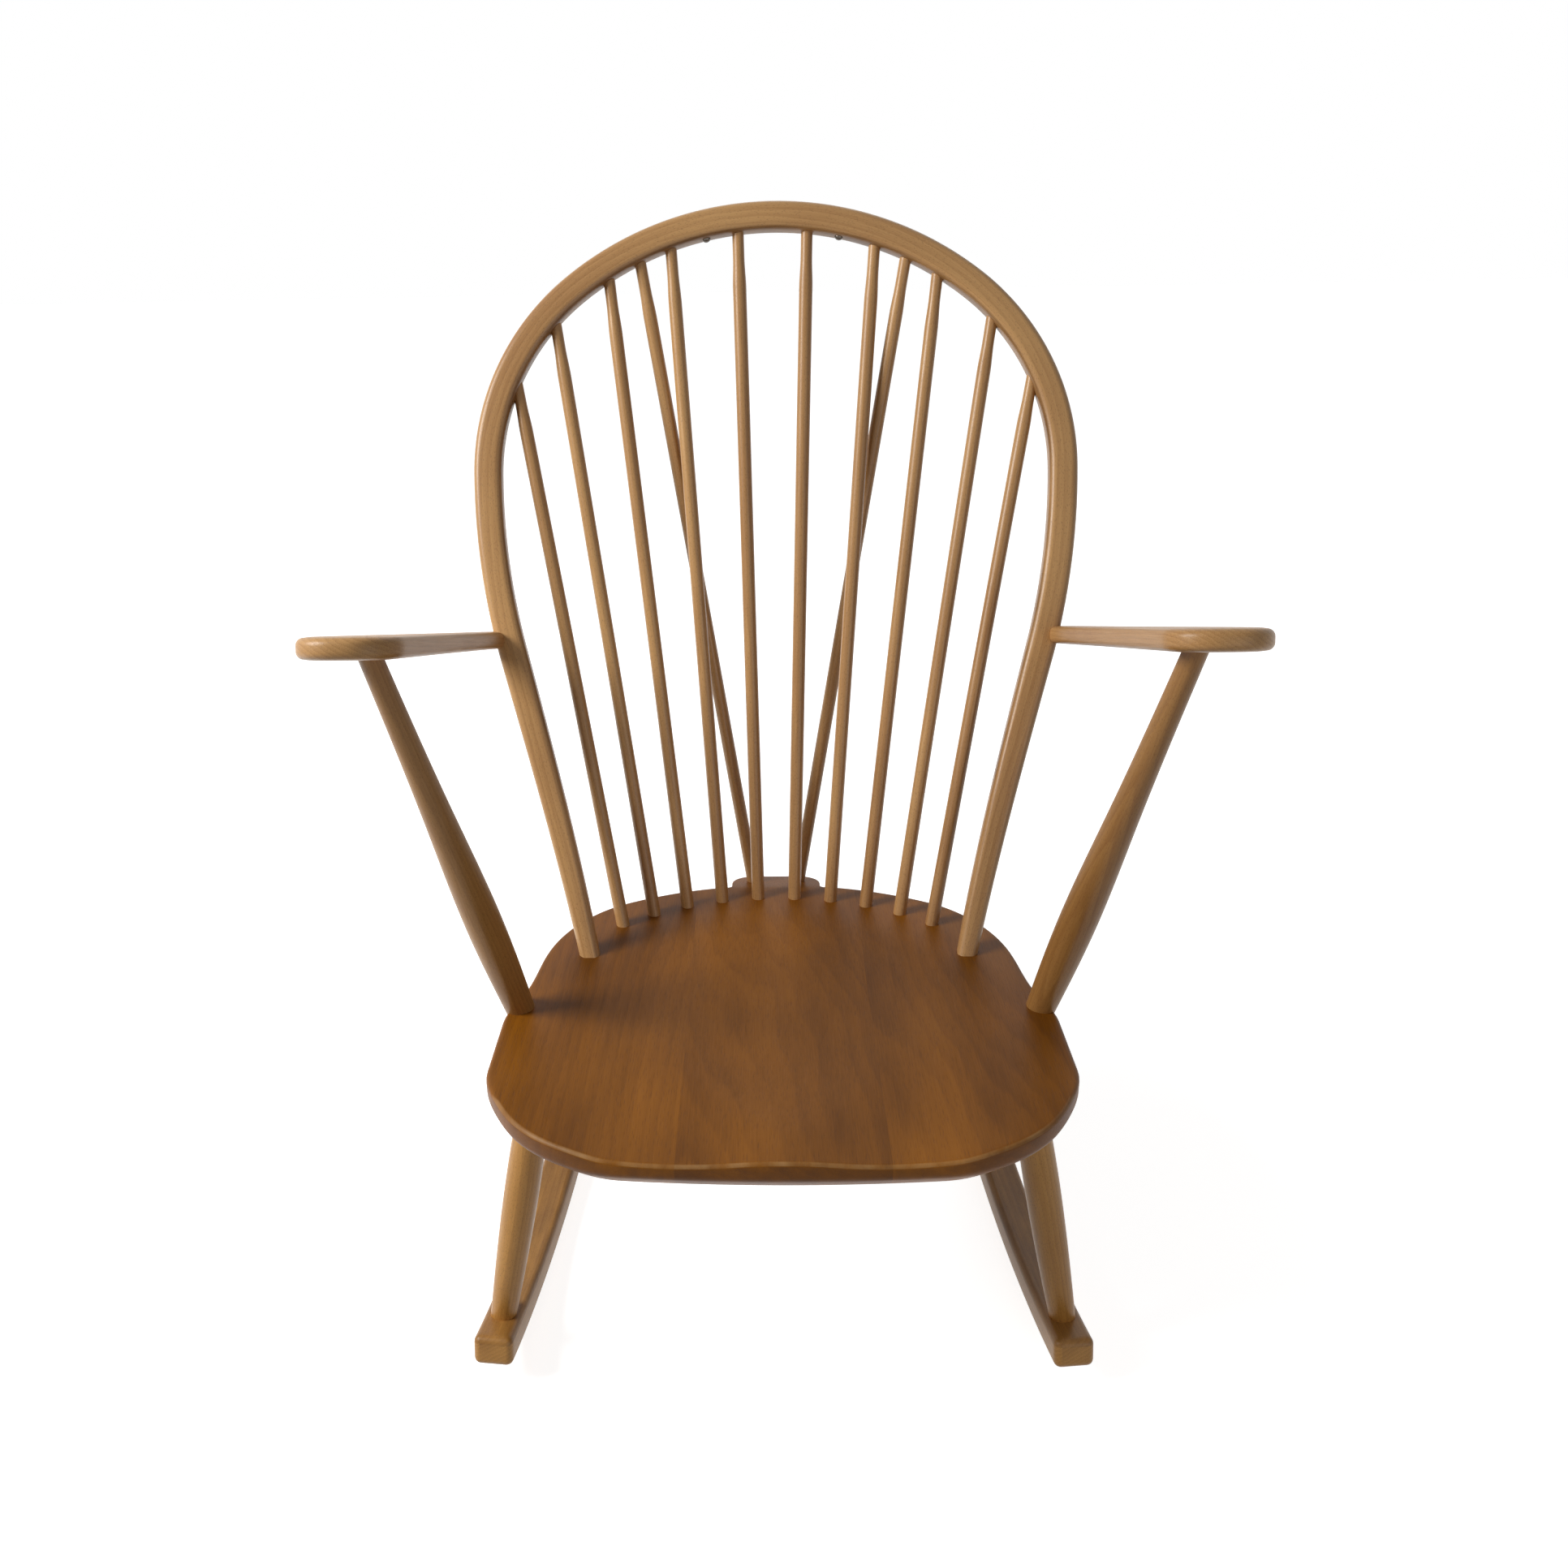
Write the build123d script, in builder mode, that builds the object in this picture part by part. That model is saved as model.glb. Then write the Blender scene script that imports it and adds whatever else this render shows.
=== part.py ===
from build123d import *
import os
from math import asin, cos, degrees, radians, sin, tan

os.makedirs("parts", exist_ok=True)

# Hoop back rocking chair. Millimetres and degrees. +Z is up, the chair faces -Y,
# x = 0 is its middle and z = 0 is the floor. The y origin is the middle of its depth.

# ---------------------------------------------------------------- driving dimensions
# Seat: measured across (x), back from its front edge along the seat, and up from its top.
# A setback runs back from the front edge, and an inset runs forward from the rear edge.
seat_front_y = -352.0
seat_front_height = 334.0
seat_tilt = 5.0
seat_thickness = 36.0
seat_depth = 484.0
seat_half_width = 251.0
seat_front_half_straight = 172.0
seat_front_bow = 16.0
seat_corner_bulge = 222.0
seat_corner_bulge_setback = 64.0
seat_widest_front = 128.0
seat_widest_back = 206.0
seat_waist_half_width = 239.0
seat_waist_setback = 258.0
seat_rear_side_half_width = 227.0
seat_rear_side_inset = 144.0
seat_rear_corner_half_width = 160.0
seat_rear_bow = 43.0
seat_tail_half_width = 48.0
seat_tail_length = 36.0
seat_tail_fall = 7.0
seat_tail_fall_run = 44.0
seat_tail_corner_radius = 24.0
seat_edge_rounding = 3.5
seat_undercut_height = 19.0
seat_undercut_width = 20.0
seat_board_half_width = 84.0
saddle_radius = 178.0
saddle_depth = 8.0
saddle_setback = 226.0
thigh_hollow_spacing = 186.0
thigh_hollow_depth = 4.5
thigh_hollow_radius = 560.0

# Hoop: its centreline lies in a plane that leans back from the feet.
hoop_inset = 152.0
hoop_lean = 25.8
hoop_height = 737.0
hoop_half_spread = 282.0
hoop_width = 27.5
hoop_depth = 22.0
hoop_edge_radius = 7.0
crown_radius = 312.0
crown_half_angle = 39.0
flank_radius = 690.0
flank_angle = 15.0
hoop_foot_width = 23.5
hoop_foot_depth = 21.0
hoop_foot_corner = 9.5
hoop_tenon_diameter = 19.0
hoop_wedge_width = 2.4
hoop_wedge_height = 20.0
hoop_wedge_side_play = 0.5

# Sticks: evenly spaced on the hoop and on an arc of the seat near its rear edge.
stick_count = 10
stick_pitch_on_hoop = 68.5
stick_base_radius = 235.0
stick_base_inset = 31.0
stick_base_pitch = 9.4
stick_diameter = 13.4
stick_tip_diameter = 11.4
stick_tip_taper = 70.0
stick_tip_length = 40.0
stick_socket_depth = 24.0
stick_reach_past_line = 4.0
brace_base_half_spacing = 25.5
brace_base_past_seat = 17.0

# Arms: flat boards in a plane that rises to the front.
arm_height_on_hoop = 310.0
arm_slope = 20.3
arm_thickness = 16.0
arm_edge_chamfer = 4.5
arm_end_corner_radius = 8.0
arm_overlap_on_hoop = 10.0
arm_end_behind_hoop_line = 14.0
arm_neck_width = 36.0
arm_waist_reach = 150.0
arm_waist_width = 45.5
arm_waist_inner = 271.5
arm_paddle_half_width = 41.0
arm_paddle_centre = 314.0
arm_front_reach = 403.0
arm_front_radius = 34.0
arm_support_reach = 335.0
arm_support_across = 308.0
arm_screw_reach = 4.0
arm_screw_length = 42.0
arm_screw_diameter = 4.0
arm_screw_head_diameter = 8.0
arm_screw_head_height = 3.0
arm_plug_diameter = 9.5
arm_plug_length = 7.0

# Arm supports: turned, thickest low down.
support_base_across = 239.0
support_base_setback = 230.0
support_base_diameter = 26.5
support_swell_diameter = 32.5
support_swell_height = 108.0
support_neck_diameter = 25.0
support_neck_height = 236.0
support_top_diameter = 18.5
support_tenon_diameter = 15.0
support_tenon_length = 22.0
support_top_tenon_diameter = 13.0
support_top_tenon_length = 10.0

# Rockers: bent rails of one section that toe in towards the back.
rocker_front_y = -281.0
rocker_front_across = 263.5
rocker_toe_in = 5.54
rocker_length = 636.0
rocker_radius = 900.0
rocker_contact_setback = 231.0
rocker_width = 36.5
rocker_height = 28.0
rocker_edge_rounding = 4.5

# Legs: turned, from the underside of the seat to the top of the rockers.
front_leg_top_across = 214.0
front_leg_top_setback = 148.0
front_leg_setback_on_rocker = 46.0
rear_leg_top_across = 146.0
rear_leg_top_inset = 128.0
rear_leg_setback_on_rocker = 398.0
leg_top_diameter = 28.0
leg_swell_diameter = 31.5
leg_swell_share = 0.62
leg_foot_diameter = 24.0
leg_tenon_diameter = 20.0
leg_tenon_length = 22.0
leg_foot_seating = 8.0
leg_foot_tenon_diameter = 15.0
leg_foot_tenon_length = 18.0

# Cushion strap studs under the crown of the hoop.
stud_head_diameter = 8.0
stud_head_height = 3.0
stud_shank_diameter = 3.0
stud_shank_length = 12.0

# Clearance all round a glued tenon, and length to spare at the end of its socket.
glue_gap = 0.1
socket_spare = 1.0
tool_overrun = 30.0

# ---------------------------------------------------------------- planes and places
seat_plane = Plane(
    origin=(0, seat_front_y, seat_front_height),
    x_dir=(1, 0, 0),
    z_dir=(0, sin(radians(seat_tilt)), cos(radians(seat_tilt))),
)
seat_underside = seat_plane.offset(-seat_thickness)


def on_seat(across, back, up=0.0):
    """A point of the seat: across, back from the front edge, and up from its top."""
    return seat_plane.from_local_coords(Vector(across, back, up))


hoop_plane = Plane(
    origin=on_seat(0, seat_depth - hoop_inset),
    x_dir=(1, 0, 0),
    z_dir=(0, -cos(radians(hoop_lean)), sin(radians(hoop_lean))),
)

# The hoop's centreline: crown arc, shoulder arcs, flank arcs and straight legs, all tangent.
crown_centre = hoop_height - hoop_width / 2 - crown_radius
crown_sine = sin(radians(crown_half_angle))
crown_cosine = cos(radians(crown_half_angle))
shoulder_radius = (hoop_half_spread - crown_radius * crown_sine) / (1 - crown_sine)
shoulder_across = (crown_radius - shoulder_radius) * crown_sine
shoulder_centre = crown_centre + (crown_radius - shoulder_radius) * crown_cosine
flank_centre_across = hoop_half_spread - flank_radius
flank_end_across = flank_centre_across + flank_radius * cos(radians(flank_angle))
flank_end_height = shoulder_centre - flank_radius * sin(radians(flank_angle))
foot_across = flank_end_across - flank_end_height * tan(radians(flank_angle))
crown_length = crown_radius * radians(crown_half_angle)


def on_hoop_line(distance, side, inward=0.0):
    """The point of the hoop's centreline at a distance from the crown's middle,
    moved inward across the hoop. side is 1 for the right and -1 for the left."""
    if distance <= crown_length:
        angle = distance / crown_radius
        across = (crown_radius - inward) * sin(angle)
        up = crown_centre + (crown_radius - inward) * cos(angle)
    else:
        angle = radians(crown_half_angle) + (distance - crown_length) / shoulder_radius
        across = shoulder_across + (shoulder_radius - inward) * sin(angle)
        up = shoulder_centre + (shoulder_radius - inward) * cos(angle)
    return hoop_plane.from_local_coords(Vector(side * across, up, 0))


def flank_across(height):
    """How far the hoop's centreline stands from the middle at a height on its flank."""
    rise = shoulder_centre - height
    return flank_centre_across + (flank_radius**2 - rise**2) ** 0.5


# The arms' middle plane crosses the hoop's centreline and rises towards the front.
arm_plane = Plane(
    origin=hoop_plane.from_local_coords(Vector(0, arm_height_on_hoop, 0)),
    x_dir=(1, 0, 0),
    z_dir=(0, sin(radians(arm_slope)), cos(radians(arm_slope))),
)
arm_underside = arm_plane.offset(-arm_thickness / 2)
arm_hoop_across = flank_across(arm_height_on_hoop)
arm_inner_edge = arm_hoop_across + hoop_width / 2 - arm_overlap_on_hoop


def on_arm(across, forward, up=0.0):
    """A point of an arm: across, forward from the hoop's line, and up from its middle."""
    return arm_plane.from_local_coords(Vector(across, -forward, up))


def rocker_plane(side):
    """The upright plane along the middle of a rocker: x runs back and y runs up."""
    turn = radians(rocker_toe_in)
    back = Vector(-side * sin(turn), cos(turn), 0)
    return Plane(
        origin=(side * rocker_front_across, rocker_front_y, 0),
        x_dir=back,
        z_dir=back.cross(Vector(0, 0, 1)),
    )


def on_rocker(side, back):
    """The middle of a rocker's top face at a distance back from its front end."""
    reach = back - rocker_contact_setback
    up = rocker_radius - ((rocker_radius - rocker_height) ** 2 - reach**2) ** 0.5
    return rocker_plane(side).from_local_coords(Vector(back, up, 0))


def stick_base(number):
    """Where a back stick stands on the seat. The sticks count from the left."""
    angle = radians((number - (stick_count - 1) / 2) * stick_base_pitch)
    arc_centre = seat_depth - stick_base_inset - stick_base_radius
    return on_seat(stick_base_radius * sin(angle), arc_centre + stick_base_radius * cos(angle))


def stick_top(number):
    """Where a back stick meets the hoop's centreline."""
    steps = number - (stick_count - 1) / 2
    return on_hoop_line(abs(steps) * stick_pitch_on_hoop, 1 if steps > 0 else -1)


def brace_base(side):
    back = seat_depth + brace_base_past_seat
    return on_seat(side * brace_base_half_spacing, back)


def brace_top(side):
    return on_hoop_line(2 * stick_pitch_on_hoop, side)


sticks = {f"stick_{n + 1}": (stick_base(n), stick_top(n)) for n in range(stick_count)}
for side, name in ((-1, "left"), (1, "right")):
    sticks[f"brace_stick_{name}"] = (brace_base(side), brace_top(side))

supports = {}
legs = {}
for side, name in ((-1, "left"), (1, "right")):
    supports[name] = (
        on_seat(side * support_base_across, support_base_setback),
        on_arm(side * arm_support_across, arm_support_reach, -arm_thickness / 2),
    )
    legs[f"front_leg_{name}"] = (
        on_rocker(side, front_leg_setback_on_rocker),
        on_seat(side * front_leg_top_across, front_leg_top_setback, -seat_thickness),
    )
    legs[f"rear_leg_{name}"] = (
        on_rocker(side, rear_leg_setback_on_rocker),
        on_seat(side * rear_leg_top_across, seat_depth - rear_leg_top_inset, -seat_thickness),
    )


def hoop_foot(side):
    """The middle of a hoop foot on the seat, and its direction down into the seat."""
    foot = hoop_plane.from_local_coords(Vector(side * foot_across, 0, 0))
    above = hoop_plane.from_local_coords(Vector(side * flank_end_across, flank_end_height, 0))
    return foot, (foot - above).normalized()


def arm_screw_place(side):
    """The seat of an arm screw's head, and the way that the screw points."""
    across = arm_inner_edge + arm_neck_width - arm_plug_length
    return on_arm(side * across, arm_screw_reach), Vector(-side, 0, 0)


def along(start, end):
    return (end - start).normalized()


def turning_plane(start, end):
    """The plane of a turned piece's profile: y runs from its start to its end."""
    axis = along(start, end)
    across = axis.cross(Vector(0, 1, 0)).normalized()
    return Plane(origin=start, x_dir=across, z_dir=across.cross(axis))


def facing(point, direction, lift=0.0):
    """A plane at a point, lifted back against a direction that it faces."""
    return Plane(origin=point - direction * lift, z_dir=direction)


def finish(part, name):
    part.label = name
    export_step(part, f"parts/{name}.step")


# ---------------------------------------------------------------- seat
tail_end = seat_depth + seat_tail_length

with BuildPart() as seat:
    with BuildSketch(seat_plane):
        with BuildLine():
            front = ThreePointArc(
                (-seat_front_half_straight, seat_front_bow),
                (0, 0),
                (seat_front_half_straight, seat_front_bow),
            )
            right_corner = Spline(
                front @ 1,
                (seat_corner_bulge, seat_corner_bulge_setback),
                (seat_half_width, seat_widest_front),
                tangents=(front % 1, (0, 1)),
            )
            right_side = Line(right_corner @ 1, (seat_half_width, seat_widest_back))
            rear = ThreePointArc(
                (seat_rear_corner_half_width, seat_depth - seat_rear_bow),
                (0, seat_depth),
                (-seat_rear_corner_half_width, seat_depth - seat_rear_bow),
            )
            right_waist = Spline(
                right_side @ 1,
                (seat_waist_half_width, seat_waist_setback),
                (seat_rear_side_half_width, seat_depth - seat_rear_side_inset),
                rear @ 0,
                tangents=((0, 1), rear % 0),
            )
            left_waist = mirror(right_waist, about=Plane.YZ)
            left_side = mirror(right_side, about=Plane.YZ)
            left_corner = mirror(right_corner, about=Plane.YZ)
        make_face()
        with Locations((0, tail_end - seat_tail_length)):
            Rectangle(2 * seat_tail_half_width, 2 * seat_tail_length)
    extrude(amount=-seat_thickness)
    tail_corners = seat.edges().filter_by(Axis((0, 0, 0), seat_plane.z_dir)).sort_by(Axis.Y)[-2:]
    fillet(tail_corners, radius=seat_tail_corner_radius)
    underside = seat.faces().sort_by(Axis((0, 0, 0), seat_plane.z_dir))[0]
    chamfer(
        underside.edges(),
        length=seat_undercut_width,
        length2=seat_undercut_height,
        reference=underside,
    )
    # The tail's top falls away behind the back sticks.
    with BuildSketch(Plane(origin=on_seat(0, 0), x_dir=seat_plane.y_dir, z_dir=(1, 0, 0))):
        with BuildLine():
            Polyline(
                (tail_end - seat_tail_fall_run, 0),
                (tail_end, -seat_tail_fall),
                (tail_end + tool_overrun, -seat_tail_fall),
                (tail_end + tool_overrun, tool_overrun),
                (tail_end - seat_tail_fall_run, tool_overrun),
                close=True,
            )
        make_face()
    extrude(amount=seat_tail_half_width + tool_overrun, both=True, mode=Mode.SUBTRACT)
    top_edges = seat.edges().filter_by(
        lambda edge: abs(seat_plane.to_local_coords(edge.center()).Z) < seat_tail_fall
    )
    fillet(top_edges.filter_by(lambda edge: edge.length > 1), radius=seat_edge_rounding)
    # The saddle is a shallow bowl, and two hollows for the thighs run out to the front.
    bowl_radius = (saddle_radius**2 + saddle_depth**2) / (2 * saddle_depth)
    with Locations(on_seat(0, saddle_setback, bowl_radius - saddle_depth)):
        Sphere(bowl_radius, mode=Mode.SUBTRACT)
    for side in (-1, 1):
        hollow_axis = (side * thigh_hollow_spacing / 2, thigh_hollow_radius - thigh_hollow_depth)
        with BuildSketch(Plane(origin=on_seat(0, saddle_setback), x_dir=(1, 0, 0), z_dir=-seat_plane.y_dir)):
            with Locations(hollow_axis):
                Circle(thigh_hollow_radius)
        extrude(amount=saddle_setback + tool_overrun, mode=Mode.SUBTRACT)
    # Sockets: two through the seat for the hoop, the rest blind.
    for side in (-1, 1):
        foot, down = hoop_foot(side)
        with BuildSketch(facing(foot, down, tool_overrun)):
            Circle(hoop_tenon_diameter / 2 + glue_gap)
        extrude(amount=3 * tool_overrun, mode=Mode.SUBTRACT)
    for base, top in sticks.values():
        with BuildSketch(facing(base, along(top, base), tool_overrun)):
            Circle(stick_diameter / 2 + glue_gap)
        depth = stick_socket_depth + socket_spare
        extrude(amount=tool_overrun + depth, mode=Mode.SUBTRACT)
    for base, top in supports.values():
        with BuildSketch(facing(base, along(top, base), tool_overrun)):
            Circle(support_tenon_diameter / 2 + glue_gap)
        depth = support_tenon_length + socket_spare
        extrude(amount=tool_overrun + depth, mode=Mode.SUBTRACT)
    for foot, top in legs.values():
        with BuildSketch(facing(top, along(foot, top), tool_overrun)):
            Circle(leg_tenon_diameter / 2 + glue_gap)
        depth = leg_tenon_length + socket_spare
        extrude(amount=tool_overrun + depth, mode=Mode.SUBTRACT)

# The seat is glued up from three boards, edge to edge.
board_edges = (
    ("seat_board_left", ((-seat_board_half_width, Keep.BOTTOM),)),
    ("seat_board_middle", ((-seat_board_half_width, Keep.TOP), (seat_board_half_width, Keep.BOTTOM))),
    ("seat_board_right", ((seat_board_half_width, Keep.TOP),)),
)
for name, cuts in board_edges:
    with BuildPart() as board:
        add(seat.part)
        for across, kept in cuts:
            split(bisect_by=Plane.YZ.offset(across), keep=kept)
    finish(board.part, name)

# ---------------------------------------------------------------- hoop
def hoop_form(gap):
    """The hoop's body above the seat, larger all round by a gap."""
    bow_section = (hoop_depth + 2 * gap, hoop_width + 2 * gap, hoop_edge_radius + gap)
    foot_section = (hoop_foot_depth + 2 * gap, hoop_foot_width + 2 * gap, hoop_foot_corner + gap)
    with BuildPart() as form:
        with BuildLine(hoop_plane) as bow:
            CenterArc((flank_centre_across, shoulder_centre), flank_radius, -flank_angle, flank_angle)
            CenterArc((shoulder_across, shoulder_centre), shoulder_radius, 0, 90 - crown_half_angle)
            CenterArc((0, crown_centre), crown_radius, 90 - crown_half_angle, 2 * crown_half_angle)
            CenterArc(
                (-shoulder_across, shoulder_centre),
                shoulder_radius,
                90 + crown_half_angle,
                90 - crown_half_angle,
            )
            CenterArc((-flank_centre_across, shoulder_centre), flank_radius, 180, flank_angle)
        bow_wire = bow.wires()[0]
        with BuildSketch(Plane(origin=bow_wire @ 0, x_dir=hoop_plane.z_dir, z_dir=bow_wire % 0)):
            RectangleRounded(*bow_section)
        sweep(path=bow_wire)
        for side in (-1, 1):
            foot, down = hoop_foot(side)
            end = hoop_plane.from_local_coords(Vector(side * flank_end_across, flank_end_height, 0))
            with BuildSketch(Plane(origin=end, x_dir=hoop_plane.z_dir, z_dir=down)):
                RectangleRounded(*bow_section)
            with BuildSketch(Plane(origin=foot + down * tool_overrun, x_dir=hoop_plane.z_dir, z_dir=down)):
                RectangleRounded(*foot_section)
            loft()
        split(bisect_by=seat_plane, keep=Keep.TOP)
    return form.part


with BuildPart() as hoop:
    add(hoop_form(0))
    for side in (-1, 1):
        foot, down = hoop_foot(side)
        with BuildSketch(facing(foot, down, hoop_tenon_diameter)):
            Circle(hoop_tenon_diameter / 2)
        extrude(amount=hoop_tenon_diameter + 3 * tool_overrun)
    split(bisect_by=seat_underside, keep=Keep.TOP)
    for side in (-1, 1):
        foot, down = hoop_foot(side)
        kerf = Plane(origin=foot + down * seat_thickness, x_dir=hoop_plane.z_dir, z_dir=-down)
        with BuildSketch(kerf.offset(-tool_overrun)):
            Rectangle(hoop_tenon_diameter + 2 * hoop_wedge_side_play, hoop_wedge_width)
        extrude(amount=tool_overrun + hoop_wedge_height, mode=Mode.SUBTRACT)
    for base, top in sticks.values():
        reach = stick_reach_past_line + socket_spare
        with BuildSketch(facing(top + along(base, top) * reach, along(top, base))):
            Circle(stick_tip_diameter / 2 + glue_gap)
        extrude(amount=reach + 2 * hoop_width, mode=Mode.SUBTRACT)
    for side in (-1, 1):
        stud = on_hoop_line(stick_pitch_on_hoop, side, inward=hoop_width / 2)
        outward = along(stud, on_hoop_line(stick_pitch_on_hoop, side))
        with BuildSketch(facing(stud, outward, stud_head_height)):
            Circle(stud_shank_diameter / 2 + glue_gap)
        extrude(amount=stud_head_height + stud_shank_length + socket_spare, mode=Mode.SUBTRACT)
        screw_head, screw_way = arm_screw_place(side)
        with BuildSketch(facing(screw_head, screw_way)):
            Circle(arm_screw_diameter / 2 + glue_gap)
        extrude(amount=arm_screw_length + socket_spare, mode=Mode.SUBTRACT)
finish(hoop.part, "hoop")

# Each foot tenon is spread by a wedge that is driven in from below.
with BuildPart() as hoop_foot_wedges:
    for side in (-1, 1):
        foot, down = hoop_foot(side)
        kerf = Plane(origin=foot + down * seat_thickness, x_dir=hoop_plane.z_dir, z_dir=-down)
        with BuildSketch(kerf.offset(-tool_overrun)):
            Rectangle(hoop_tenon_diameter - 2 * hoop_wedge_side_play, hoop_wedge_width)
        extrude(amount=tool_overrun + hoop_wedge_height)
    split(bisect_by=seat_underside, keep=Keep.TOP)
finish(hoop_foot_wedges.part, "hoop_foot_wedges")

# ---------------------------------------------------------------- sticks
for name, (base, top) in sticks.items():
    way = along(base, top)
    start = base - way * stick_socket_depth
    end = top + way * stick_reach_past_line
    length = (end - start).length
    plane = turning_plane(start, end)
    with BuildPart() as stick:
        with BuildSketch(plane):
            Polygon(
                (0, 0),
                (stick_diameter / 2, 0),
                (stick_diameter / 2, length - stick_tip_taper),
                (stick_tip_diameter / 2, length - stick_tip_length),
                (stick_tip_diameter / 2, length),
                (0, length),
                align=None,
            )
        revolve(axis=Axis(start, way))
    finish(stick.part, name)

# ---------------------------------------------------------------- arms and their supports
for side, name in ((-1, "left"), (1, "right")):
    base, top = supports[name]
    way = along(base, top)
    length = (top - base).length
    with BuildPart() as support:
        with BuildSketch(turning_plane(base, top)):
            with BuildLine():
                outline = Spline(
                    (support_base_diameter / 2, 0),
                    (support_swell_diameter / 2, support_swell_height),
                    (support_neck_diameter / 2, support_neck_height),
                    (support_top_diameter / 2, length),
                )
                Polyline(
                    outline @ 1,
                    (support_top_diameter / 2, length + tool_overrun),
                    (0, length + tool_overrun),
                    (0, -tool_overrun),
                    (support_base_diameter / 2, -tool_overrun),
                    outline @ 0,
                )
            make_face()
        revolve(axis=Axis(base, way))
        split(bisect_by=seat_plane, keep=Keep.TOP)
        split(bisect_by=arm_underside, keep=Keep.BOTTOM)
        with BuildSketch(facing(base, -way, support_tenon_length)):
            Circle(support_tenon_diameter / 2)
        extrude(amount=2 * support_tenon_length)
        with BuildSketch(facing(top, way, support_tenon_length)):
            Circle(support_top_tenon_diameter / 2)
        extrude(amount=support_tenon_length + support_top_tenon_length)
    finish(support.part, f"arm_support_{name}")

with BuildPart() as arm_blank:
    paddle_inner = arm_paddle_centre - arm_paddle_half_width
    paddle_outer = arm_paddle_centre + arm_paddle_half_width
    neck_outer = arm_inner_edge + arm_neck_width
    with BuildSketch(arm_underside) as arm_plan:
        with BuildLine():
            inner = ThreePointArc(
                (arm_inner_edge, arm_end_behind_hoop_line),
                (arm_waist_inner, -arm_waist_reach),
                (paddle_inner, -arm_front_reach),
            )
            outer = ThreePointArc(
                (neck_outer, arm_end_behind_hoop_line),
                (arm_waist_inner + arm_waist_width, -arm_waist_reach),
                (paddle_outer, -arm_front_reach),
            )
            Line(inner @ 0, outer @ 0)
            Line(inner @ 1, outer @ 1)
        make_face()
        corners = arm_plan.vertices().sort_by(Axis.Y)
        fillet(corners[:2], radius=arm_front_radius)
        fillet(corners[2:], radius=arm_end_corner_radius)
    extrude(amount=arm_thickness)
    arm_rims = arm_blank.faces().filter_by(Axis((0, 0, 0), arm_plane.z_dir)).edges()
    chamfer(arm_rims, length=arm_edge_chamfer)

with BuildPart() as arm_right:
    add(arm_blank.part)
    add(hoop_form(glue_gap), mode=Mode.SUBTRACT)
    base, top = supports["right"]
    with BuildSketch(facing(top, along(base, top), tool_overrun)):
        Circle(support_top_tenon_diameter / 2 + glue_gap)
    depth = support_top_tenon_length + socket_spare
    extrude(amount=tool_overrun + depth, mode=Mode.SUBTRACT)
    head_seat, screw_way = arm_screw_place(1)
    with BuildSketch(facing(head_seat, screw_way)):
        Circle(arm_screw_diameter / 2 + glue_gap)
    extrude(amount=arm_screw_length, mode=Mode.SUBTRACT)
    with BuildSketch(facing(head_seat + screw_way * arm_screw_head_height, -screw_way)):
        Circle(arm_plug_diameter / 2)
    extrude(amount=tool_overrun, mode=Mode.SUBTRACT)
finish(arm_right.part, "arm_right")

with BuildPart() as arm_left:
    add(arm_right.part)
    mirror(about=Plane.YZ, mode=Mode.REPLACE)
finish(arm_left.part, "arm_left")

# A countersunk screw holds each arm to the hoop, under a wooden plug.
with BuildPart() as arm_screws:
    for side in (-1, 1):
        head_seat, screw_way = arm_screw_place(side)
        tip = head_seat + screw_way * arm_screw_length
        with BuildSketch(turning_plane(head_seat, tip)):
            Polygon(
                (0, 0),
                (arm_screw_head_diameter / 2, 0),
                (arm_screw_head_diameter / 2, arm_screw_head_height / 3),
                (arm_screw_diameter / 2, arm_screw_head_height),
                (arm_screw_diameter / 2, arm_screw_length - arm_screw_diameter),
                (0, arm_screw_length),
                align=None,
            )
        revolve(axis=Axis(head_seat, screw_way))
finish(arm_screws.part, "arm_screws")

with BuildPart() as arm_plug_right:
    head_seat, screw_way = arm_screw_place(1)
    with BuildSketch(facing(head_seat, -screw_way)):
        Circle(arm_plug_diameter / 2)
    extrude(amount=tool_overrun)
    add(arm_blank.part, mode=Mode.INTERSECT)
with BuildPart() as arm_screw_plugs:
    add(arm_plug_right.part)
    mirror(about=Plane.YZ)
finish(arm_screw_plugs.part, "arm_screw_plugs")

# ---------------------------------------------------------------- rockers and legs
front_sweep = degrees(asin(rocker_contact_setback / rocker_radius))
rear_sweep = degrees(asin((rocker_length - rocker_contact_setback) / rocker_radius))


def rocker_rail(side):
    """A rocker before its sockets are bored."""
    with BuildPart() as rail:
        with BuildSketch(rocker_plane(side)):
            with BuildLine():
                centre = (rocker_contact_setback, rocker_radius)
                sweep_angle = front_sweep + rear_sweep
                sole = CenterArc(centre, rocker_radius, 270 - front_sweep, sweep_angle)
                top = CenterArc(centre, rocker_radius - rocker_height, 270 - front_sweep, sweep_angle)
                Line(sole @ 0, top @ 0)
                Line(sole @ 1, top @ 1)
            make_face()
        extrude(amount=rocker_width / 2, both=True)
        fillet(rail.edges(), radius=rocker_edge_rounding)
    return rail.part


rails = {name: rocker_rail(side) for side, name in ((-1, "left"), (1, "right"))}
for name, rail in rails.items():
    with BuildPart() as rocker:
        add(rail)
        for leg_name in (f"front_leg_{name}", f"rear_leg_{name}"):
            foot, top = legs[leg_name]
            with BuildSketch(facing(foot, along(top, foot), tool_overrun)):
                Circle(leg_foot_tenon_diameter / 2 + glue_gap)
            depth = leg_foot_tenon_length + socket_spare
            extrude(amount=tool_overrun + depth, mode=Mode.SUBTRACT)
    finish(rocker.part, f"rocker_{name}")

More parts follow.
